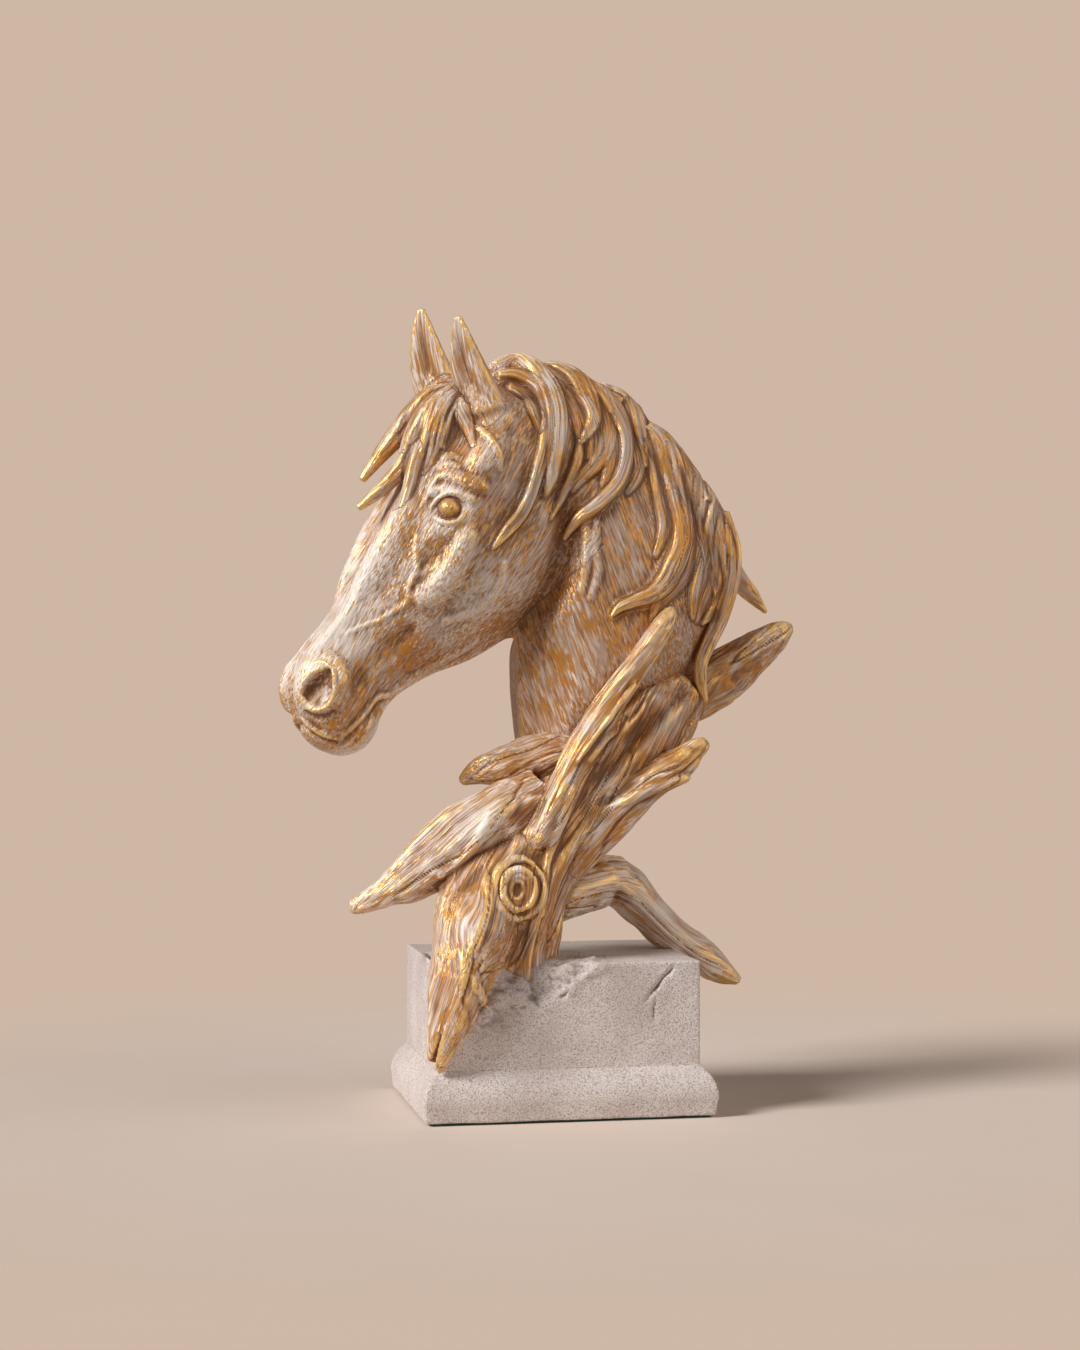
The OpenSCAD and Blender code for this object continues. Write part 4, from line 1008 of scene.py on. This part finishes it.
def grain_place(points, core):
    axes, middle, stops, line = core
    along = (points - middle) @ axes[0]
    centre = np.stack([np.interp(along, stops, line[:, k]) for k in range(3)], -1)
    off = points - centre
    return along, np.arctan2(off @ axes[2], off @ axes[1]), np.linalg.norm(off, axis=-1)


def furrowed(along, angle, radius, salt):
    stray = smooth_noise(np.stack([along/STRAY_LONG, np.cos(angle), np.sin(angle)], -1) + STRAY_SHIFT, salt)
    angle = angle + TWIST*along + STRAY*(stray - 0.5)
    place = np.stack([along, radius*np.cos(angle), radius*np.sin(angle)], -1)
    wide, thin, slit = (ridged(smooth_noise(place/[long, across, across] + shift, salt + more))
                        for long, across, shift, more in FURROWS)
    slit = np.clip(slit - SLIT_FROM, 0, 1)/SLIT_SPAN
    return place, WIDE_DEEP*wide**2 + THIN_DEEP*thin + SLIT_DEEP*slit


print("furrows", [row[1] for row in FURROWS], "mm wide")

# %% Grain
# Each branch draws the grain of the skin near it; where two meet, their furrows fade into each other.
SHARE_FADE, SHARE_LEAST, NEAR_DEPTH, FAR_DEPTH = 1.6, 0.01, -1, 12
CORE_LEAST, CORE_MOST, BRANCH_APART = 3, 24, 300
# The wash on each branch, then spots that add to it or, below zero, take from it: the one at -32, 140 is a
# painted highlight on the left low branch, and the one at -13, 145 painted shade in the hollow beside it.
WOOD_WASH, PALE = -0.4, {"arch_root": 0.3, "left_low_branch": 0.0}
WOOD_WASH_AND_PAINTED_LIGHT_SPOTS = [((30, 156.5), 8, 1.6), ((-32, 140), 12, 1), ((20, 138), 9, 1), ((-13, 145), 8, -0.4),
              ((22, 190), 8, 0.6), ((-45, 90), 9, 0.5)]
# Slow swellings of the skin: height, size, shift and salt; then the lift that makes up for the furrows.
SWELLINGS, LIFT = [(2, 17, 60, 77), (0.8, 8, 160, 78)], 0.7
points, quads = main_shell(*wood.skin())
facing = mesh_normals(points, quads)
furrow, share_total, pale = np.zeros((3, len(points)))
grain, best = np.zeros((len(points), 3)), np.full(len(points), np.inf)
for salt, (name, (window, part)) in enumerate(branches.items()):
    depth = sampled(part, wood.low + [w.start for w in window], wood.pitch, points)
    share = np.exp(-np.clip(depth, NEAR_DEPTH, FAR_DEPTH)/SHARE_FADE)
    use = share > SHARE_LEAST
    along, angle, radius = grain_place(points[use], core_of(window, part))
    place, press = furrowed(along, angle, np.clip(radius, CORE_LEAST, CORE_MOST), salt)
    furrow[use] += share[use]*press
    share_total[use] += share[use]
    nearer = depth[use] < best[use]
    index = np.flatnonzero(use)[nearer]
    best[index] = depth[index]
    grain[index] = place[nearer] + BRANCH_APART*salt
    pale[index] = PALE.get(name, WOOD_WASH)
furrow /= np.maximum(share_total, 1e-6)
# The spots add a painted highlight and painted shade to the wash.
pale += spots_added(wood, points, WOOD_WASH_AND_PAINTED_LIGHT_SPOTS)
points = points + facing*(LIFT - furrow + rough(points, SWELLINGS))[:, None]
print("grain pressed in, mm:", np.round(np.percentile(furrow, [5, 50, 95]), 2))
fields = relief_of(points, quads, fine=FINE_ROUNDS, broad=BROAD_ROUNDS)
wood_piece = piece_of("driftwood_casting", points, quads.tolist(), fields | {"grain": grain, "pale": pale},
                      TIMBER)

# %% [markdown]
# ## Plinth
# The plinth is cast in a stone-like resin: a straight block on a rounded moulding, chipped along its front
# edge where the root comes down, and with a few hair cracks. The solid gives the block and the flat
# fractures. A clay copy takes the sharpness off its edges, and noise makes the broken stone rough, while the
# sound faces stay flat.

# %% Plinth
STONE_BELOW, STONE_ABOVE, STONE_PITCH = 5, 12, 0.85
# Rough stone left standing round the foot of the root: spots of the picture with tilt, half sizes and lift.
RUBBLE = [((4, 73), 20, 9, 5, 6, -2), ((15, 74), 8, 9, 4, 6, -2.5), ((-5, 64), 30, 9, 6, 6, -2),
          ((-16, 58), 35, 9, 6, 6, -2.5), ((-27, 51), 40, 9, 6, 6, -2.5), ((-33, 44), 45, 6, 4, 5, -2),
          ((8, 66), 15, 9, 5, 6, -3), ((22, 72), 5, 6, 3, 5, -2.5)]
CRACKS = [
    [(63.5, 69.5, 0.4, 0.6), (61, 66, 0.9, 1.4), (57.6, 63.4, 0.7, 1.2), (54.6, 58.4, 1, 1.4),
        (51.4, 55.4, 0.6, 1), (48, 50.4, 0.4, 0.6)],
    [(54, 51.5, 0.4, 0.6), (52.8, 47, 0.6, 1), (53.4, 40, 0.4, 0.5)],
    [(11, 57, 0.5, 0.7), (7, 54, 1, 1.2), (3, 52, 0.4, 0.5)],
    [(-62, 76, 1, 1), (-59, 73, 1.2, 1.2), (-57, 70, 0.6, 0.6)]]
RUBBLE_BLEND, CRACK_BLEND, CRACK_POINTS = 3, 0.6, 20
# How far from a spot of rubble the stone counts as broken.
BREAK_FULL, BREAK_REACH = 1.5, 11
# Lumps, layers and crumbs of the break, then grit and slight waves of the sound faces, as for the wood.
LUMPS = [(2.6, 6, 50, 3), (2, (6, 6, 2.2), 90, 4), (1.2, 2.4, 10, 7)]
GRIT = [(0.16, 1.6, 20, 5), (0.3, 14, 70, 6)]
STONE_FINE, STONE_BROAD = 4, 30
print("stone broken at", len(RUBBLE), "spots, with", len(CRACKS), "cracks")

# %% Break the plinth
plinth_low, plinth_high = box_mm("plinth")
stone = Clay(plinth_low - STONE_BELOW, plinth_high + STONE_ABOVE, STONE_PITCH)
stone.add(node_shape("plinth"))
rubble_at = seen(stone, [row[0] for row in RUBBLE])
for row in RUBBLE:
    stone.add(dab(stone, *row), RUBBLE_BLEND)
for rows in CRACKS:
    stone.cut(stroke(stone, rows, CRACK_POINTS), CRACK_BLEND)
points, quads = main_shell(*stone.skin())
away = np.min(np.linalg.norm(points[:, None] - rubble_at, axis=-1), axis=1)
broken = np.clip(BREAK_FULL - away/BREAK_REACH, 0, 1)
points = points + mesh_normals(points, quads)*(broken*rough(points, LUMPS) + rough(points, GRIT))[:, None]
fields = relief_of(points, quads, fine=STONE_FINE, broad=STONE_BROAD) | {"broken": broken}
plinth_piece = piece_of("stone_plinth", points, quads.tolist(), fields, ["plinth"])

# %% [markdown]
# ## Felt
# A thin green felt is glued under the foot, so that the stone doesn't scratch a table. Only its edge shows.
# It is cut by hand with scissors, so the outline wavers by a fraction of a millimetre and the edge is soft.

# %% Felt
FELT_POINTS, FELT_CORNER, SOFT_EDGE, FELT_INNER, CORNER_PULL = 480, 4.0, 0.35, 30, 0.9
# The scissors' waver, as a layer of noise, and how far inside the line they keep.
SNIPS, SNIP_IN = [(0.5, 7, 30, 8)], 0.05
felt_low, felt_high = box_mm("felt_pad")
half_w, half_d, thick = *(felt_high - felt_low)[:2]/2, felt_high[2] - felt_low[2]
half = np.array([half_w, half_d])
angle = np.linspace(0, 2*np.pi, FELT_POINTS, endpoint=False)
ways = np.stack([np.cos(angle), np.sin(angle)], -1)
outline = ways*np.min(half/np.maximum(np.abs(ways), 1e-6), axis=1)[:, None]
inner = np.clip(outline, FELT_CORNER - half, half - FELT_CORNER)
outline = inner + FELT_CORNER*unit(outline - inner)
level = np.zeros((FELT_POINTS, 1))
waver = rough(np.concatenate([outline, level], -1), SNIPS) - SNIP_IN
outward = unit(outline - CORNER_PULL*inner)
under = [(FELT_INNER, 0), (SOFT_EDGE, 0), (0, SOFT_EDGE)]
over = [(inset, thick - height) for inset, height in under[::-1]]
rings = []
for inset, height in under + over:
    ring = outline*(1 - inset/half_w) + outward*waver[:, None]*(inset < 1)
    rings.append(np.concatenate([ring, level + height], -1))
points, quads, corners = closed_skin(np.array(rings))
felt_piece = piece_of("felt", points, quads.tolist() + corners.tolist(), {}, ["felt_pad"])
print("felt", round(2*half_w, 1), "by", round(2*half_d, 1), "mm")

# %% [markdown]
# ## Finishes
# A finish is a little machine of nodes. Wiring it by hand hides the idea, so a wire here can be reckoned
# with like a number: the sum of two wires adds a Math node. Everything that isn't arithmetic comes from one
# method.


# %% Wires
class Wire:
    def __init__(self, finish, socket):
        self.finish, self.socket = finish, socket

    def reckon(self, operation, *values):
        return self.finish.node("ShaderNodeMath", {"operation": operation}, dict(enumerate(values)))

    def __add__(self, other):
        return self.reckon("ADD", self, other)

    __radd__ = __add__

    def __sub__(self, other):
        return self.reckon("SUBTRACT", self, other)

    def __rsub__(self, other):
        return self.reckon("SUBTRACT", other, self)

    def __mul__(self, other):
        return self.reckon("MULTIPLY", self, other)

    __rmul__ = __mul__

    def step(self, low, high):
        return self.finish.node("ShaderNodeMapRange", {"interpolation_type": "SMOOTHSTEP"},
                                {"Value": self, "From Min": low, "From Max": high})


print("wires reckon with", [name for name in vars(Wire) if name.startswith("__r")], "too")


# %% Finishes
class Finish:
    def __init__(self, name, kind="materials"):
        self.owner = getattr(bpy.data, kind).new(name)
        self.owner.use_nodes = True
        self.tree = self.owner.node_tree
        self.shader = self.tree.nodes["Background" if kind == "worlds" else "Principled BSDF"]

    def feed(self, socket, value):
        if isinstance(value, Wire):
            self.tree.links.new(value.socket, socket)
        else:
            socket.default_value = value

    def node(self, kind, settings, sockets, out=0):
        node = self.tree.nodes.new(kind)
        for key, value in settings.items():
            setattr(node, key, value)
        for key, value in sockets.items():
            self.feed(node.inputs[key], value)
        return Wire(self, node.outputs[out])

    def spot(self):
        return self.node("ShaderNodeTexCoord", {}, {}, "Object")

    def field(self, name, out="Fac"):
        return self.node("ShaderNodeAttribute", {"attribute_name": name}, {}, out)

    def noise(self, place, scale=1.0, detail=2.0, rough=0.5):
        sockets = {"Vector": place, "Scale": scale, "Detail": detail, "Roughness": rough}
        return self.node("ShaderNodeTexNoise", {}, sockets)

    def stretched(self, place, amount):
        return self.node("ShaderNodeVectorMath", {"operation": "MULTIPLY"}, {0: place, 1: amount})

    def paint(self, under, over, amount):
        return self.node("ShaderNodeMix", {"data_type": "RGBA"}, {"Factor": amount, 6: under, 7: over}, 2)

    def bump(self, height, distance):
        return self.node("ShaderNodeBump", {}, {"Height": height, "Distance": distance, "Strength": 1.0})

    def surface(self, **sockets):
        for key, value in sockets.items():
            self.feed(self.shader.inputs[key.replace("_", " ").title()], value)
        return self.owner


def shade(red, green, blue):
    linear = [c/12.92 if c <= 0.04045 else ((c + 0.055)/1.055)**2.4 for c in (red/255, green/255, blue/255)]
    return (*linear, 1.0)


print("a mid grey is", round(shade(128, 128, 128)[0], 3), "in linear light")

# %% [markdown]
# ## Washed and gilded resin
# Horse and driftwood are one casting finish: a warm brown ground that stays in the hollows, a chalky taupe
# wash over it, and gold dragged over the ridges with a dry brush, so that it breaks into streaks along the
# hair and the grain. The metal is only where the brush has touched, which is why Metallic has a mask and
# isn't one number.

# %% Gilded resin
GROUND, TAUPE, WASH = shade(116, 72, 34), shade(194, 164, 142), shade(250, 237, 226)
OCHRE_DARK, OCHRE = shade(146, 94, 44), shade(196, 136, 70)
# The gold in two copies: a light one that is a painted highlight, and a deep one that is painted shade.
GOLD_PAINTED_SHADE, GOLD_PAINTED_HIGHLIGHT = shade(206, 140, 54), shade(244, 202, 130)
# Sizes of the finer and the broader marks beside a hair's, and of the patches that the brush missed.
FLICK, BRUSH, PATCHES = 1.5, 0.3, 48.0
# How metallic the gold is, how rough the bare resin is, and how much smoother the gold.
GOLD_METAL, RESIN_ROUGH, GOLD_SMOOTHER = 0.45, 0.5, 0.16


def gilded(name, streak, ridge_share, bump_mm):
    finish = Finish(name)
    grain = finish.field("grain", "Vector")
    fine, broad, pale = (finish.field(field) for field in ("fine", "broad", "pale"))
    hair, flick, brush = (finish.noise(finish.stretched(grain, tuple(v*size for v in streak)))
                          for size in (1, FLICK, BRUSH))
    patch = finish.noise(finish.spot(), PATCHES, 5.0, 0.65)
    # Where the skin stands up, where it is hollow, and its broad form.
    ridge = (fine + 0.06*broad).step(0.03, 0.28)
    hollow = (0 - 2.0*fine - 0.3*broad + 0.8*(0.5 - hair) - 0.15*pale).step(0.02, 0.45)
    form = broad.step(-0.5, 0.5) - 0.5
    # The wash over the taupe, then a thin veil of ochre, then the ground in the hollows.
    wash = (hair - 0.5 + 0.5*(brush - 0.5) + 0.22*ridge + 0.25*pale + 0.25*form).step(-0.12, 0.42)
    colour = finish.paint(TAUPE, WASH, wash)
    veil = 0.5 + (0.5 - hair) + 0.6*(patch - 0.5) + 0.4*(brush - 0.5) - 0.16*pale - 0.15*form
    ochre = finish.paint(OCHRE_DARK, OCHRE, flick.step(0.4, 0.58))
    colour = finish.paint(colour, ochre, 0.74*veil.step(0.42, 0.62))
    colour = finish.paint(colour, GROUND, 0.88*hollow)
    # Gold where the dry brush touched, mixed from its two copies: painted highlight mostly on the ridges,
    # painted shade elsewhere.
    touched = flick + 0.5*(patch - 0.5) + 0.5*(brush - 0.5) + ridge_share*ridge - 0.06*pale
    gold = touched.step(0.53, 0.61)*(1 - 0.8*hollow)
    gilt_lit_and_shaded = finish.paint(GOLD_PAINTED_SHADE, GOLD_PAINTED_HIGHLIGHT, (0.7*ridge + flick - 0.3 + 0.25*pale).step(0.1, 0.9))
    colour = finish.paint(colour, gilt_lit_and_shaded, gold)
    satin = RESIN_ROUGH - GOLD_SMOOTHER*gold
    return finish.surface(base_color=colour, metallic=GOLD_METAL*gold, roughness=satin,
                          normal=finish.bump(hair + 0.4*brush, bump_mm*MM))


# Marks in each millimetre along and across a streak, then the ridges' share of the gold and the bump.
horse_piece.data.materials.append(gilded("gilded horse resin", (0.11, 0.85, 0.85), 0.2, 0.6))
wood_piece.data.materials.append(gilded("gilded driftwood resin", (0.03, 0.95, 0.95), 0.12, 0.7))
print("gilded resin on", horse_piece.name, "and", wood_piece.name)

# %% [markdown]
# ## Speckled stone, felt and steel
# The stone is a pale binder full of crushed grit: grey and rose specks of about a millimetre. The break is
# greyer and darker in its hollows, and the cracks and other creases are darker. The felt is a mat of short
# fibres, and the hidden fixings are bright drawn steel. Noise at the right size is enough for all three,
# since none of them has a pattern.

# %% Speckled stone
BINDER, BINDER_PALE, ROSE = shade(212, 201, 195), shade(228, 219, 214), shade(172, 150, 140)
GREY, BROKEN_STONE, CRACK_DARK = shade(140, 126, 122), shade(150, 132, 122), shade(104, 86, 76)
# Marks in each metre of the grit, the flecks and the clouds.
STONE_GRIT, STONE_FLECKS, STONE_CLOUDS = 1500.0, 1050.0, 30.0
STONE_ROUGH, STONE_VARIES, STONE_BUMP = 0.72, 0.2, 0.25
finish = Finish("speckled stone")
spot = finish.spot()
fine, broken = finish.field("fine"), finish.field("broken")
grit = finish.noise(spot, STONE_GRIT, 2.0, 0.6)
flecks = finish.noise(spot, STONE_FLECKS, 1.0, 0.4)
cloud = finish.noise(spot, STONE_CLOUDS, 3.0)
colour = finish.paint(BINDER, BINDER_PALE, cloud.step(0.35, 0.65))
colour = finish.paint(colour, ROSE, grit.step(0.47, 0.62)*0.75)
colour = finish.paint(colour, GREY, flecks.step(0.57, 0.68)*0.6)
# The break is greyer and darker in its hollows; the cracks and every other crease of the sound stone are
# darker.
colour = finish.paint(colour, BROKEN_STONE, broken*(0.2 + 0.6*(0 - fine).step(0.0, 0.3)))
colour = finish.paint(colour, CRACK_DARK, 0.8*(0 - fine).step(0.12, 0.3)*(1 - broken))
rough_stone = STONE_ROUGH + STONE_VARIES*(grit - 0.5)
plinth_piece.data.materials.append(finish.surface(base_color=colour, roughness=rough_stone,
                                                  normal=finish.bump(grit + 0.6*flecks, STONE_BUMP*MM)))
print("stone on", plinth_piece.name)

# %% Felt and steel
FELT_DARK, FELT_PALE = shade(20, 62, 52), shade(52, 104, 88)
STEEL_DARK, STEEL_PALE = shade(150, 152, 156), shade(196, 198, 202)
FELT_FIBRES, FELT_ROUGH, FELT_BUMP = 2200.0, 0.95, 0.4
STEEL_LINES, STEEL_ROUGH, STEEL_VARIES, STEEL_BUMP = (900, 900, 60), 0.28, 0.2, 0.05
FIXINGS = ["stud", "stud_washer", "stud_nut", "branch_dowels", "neck_dowel"]
finish = Finish("green felt")
fibres = finish.noise(finish.spot(), FELT_FIBRES, 4.0, 0.7)
colour = finish.paint(FELT_DARK, FELT_PALE, fibres.step(0.35, 0.7))
felt_piece.data.materials.append(finish.surface(base_color=colour, roughness=FELT_ROUGH,
                                                normal=finish.bump(fibres, FELT_BUMP*MM)))

finish = Finish("drawn steel")
drawn = finish.noise(finish.stretched(finish.spot(), STEEL_LINES))
colour = finish.paint(STEEL_DARK, STEEL_PALE, drawn)
steel = finish.surface(base_color=colour, metallic=1.0, roughness=STEEL_ROUGH + STEEL_VARIES*drawn,
                       normal=finish.bump(drawn, STEEL_BUMP*MM))
for name in FIXINGS:
    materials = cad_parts[name].data.materials
    materials.clear()
    materials.append(steel)
print("felt on", felt_piece.name, "and steel on", len(FIXINGS), "fixings")

# %% [markdown]
# ## Floor and light
# A plain pale floor fades into a plain warm wall, which is only the colour of the world. One soft lamp
# stands high at the left, a little to the front, as in the photograph, with a weaker and broader one at the
# right. The world fills the shadows, and shows brighter to the camera and in the gold than the light that it
# gives.

# %% Floor
FLOOR, WALL = shade(226, 211, 199), shade(206, 183, 165)
FLOOR_HALF, FADE_FROM, FADE_TO = 9, 0.2, 0.55
FLOOR_CLOUDS, FLOOR_TINT, FLOOR_ROUGH = 9.0, 0.3, 0.8
floor_mesh = bpy.data.meshes.new("floor")
corners = [(FLOOR_HALF*x, FLOOR_HALF*y, 0) for x, y in ((-1, -1), (1, -1), (1, 1), (-1, 1))]
floor_mesh.from_pydata(corners, [], [(0, 1, 2, 3)])
floor = placed("floor", floor_mesh)
finish = Finish("pale floor")
spot = finish.spot()
away = finish.node("ShaderNodeVectorMath", {"operation": "LENGTH"}, {0: spot}, "Value")
colour = finish.paint(FLOOR, WALL, FLOOR_TINT*finish.noise(spot, FLOOR_CLOUDS, 3.0))
fade = 1 - away.step(FADE_FROM, FADE_TO)
floor_mesh.materials.append(finish.surface(base_color=colour, roughness=FLOOR_ROUGH, alpha=fade))
print("floor fades from", FADE_FROM, "to", FADE_TO, "m")

# %% Light
FILL, SHEEN = 0.15, 0.7
# Each lamp: name, the place that it shines from, spread in degrees, and strength.
LAMPS = [("key lamp", (-0.85, -0.3, 0.6), 22, 3.4), ("side lamp", (0.9, -0.6, 0.45), 60, 0.85)]
for name, place, spread, power in LAMPS:
    lamp = bpy.data.lights.new(name, "SUN")
    lamp.angle, lamp.energy = math.radians(spread), power
    light = placed(name, lamp)
    light.location = place
    light.rotation_euler = (-light.location).to_track_quat("-Z", "Y").to_euler()

studio = Finish("studio", "worlds")
camera_ray = studio.node("ShaderNodeLightPath", {}, {}, "Is Camera Ray")
glossy_ray = studio.node("ShaderNodeLightPath", {}, {}, "Is Glossy Ray")
strength = FILL + (1 - FILL)*camera_ray + (SHEEN - FILL)*glossy_ray
bpy.context.scene.world = studio.surface(color=WALL, strength=strength)
bpy.context.scene.view_settings.view_transform = "Standard"
print(len(LAMPS), "lamps, and a fill of", FILL)

# %% [markdown]
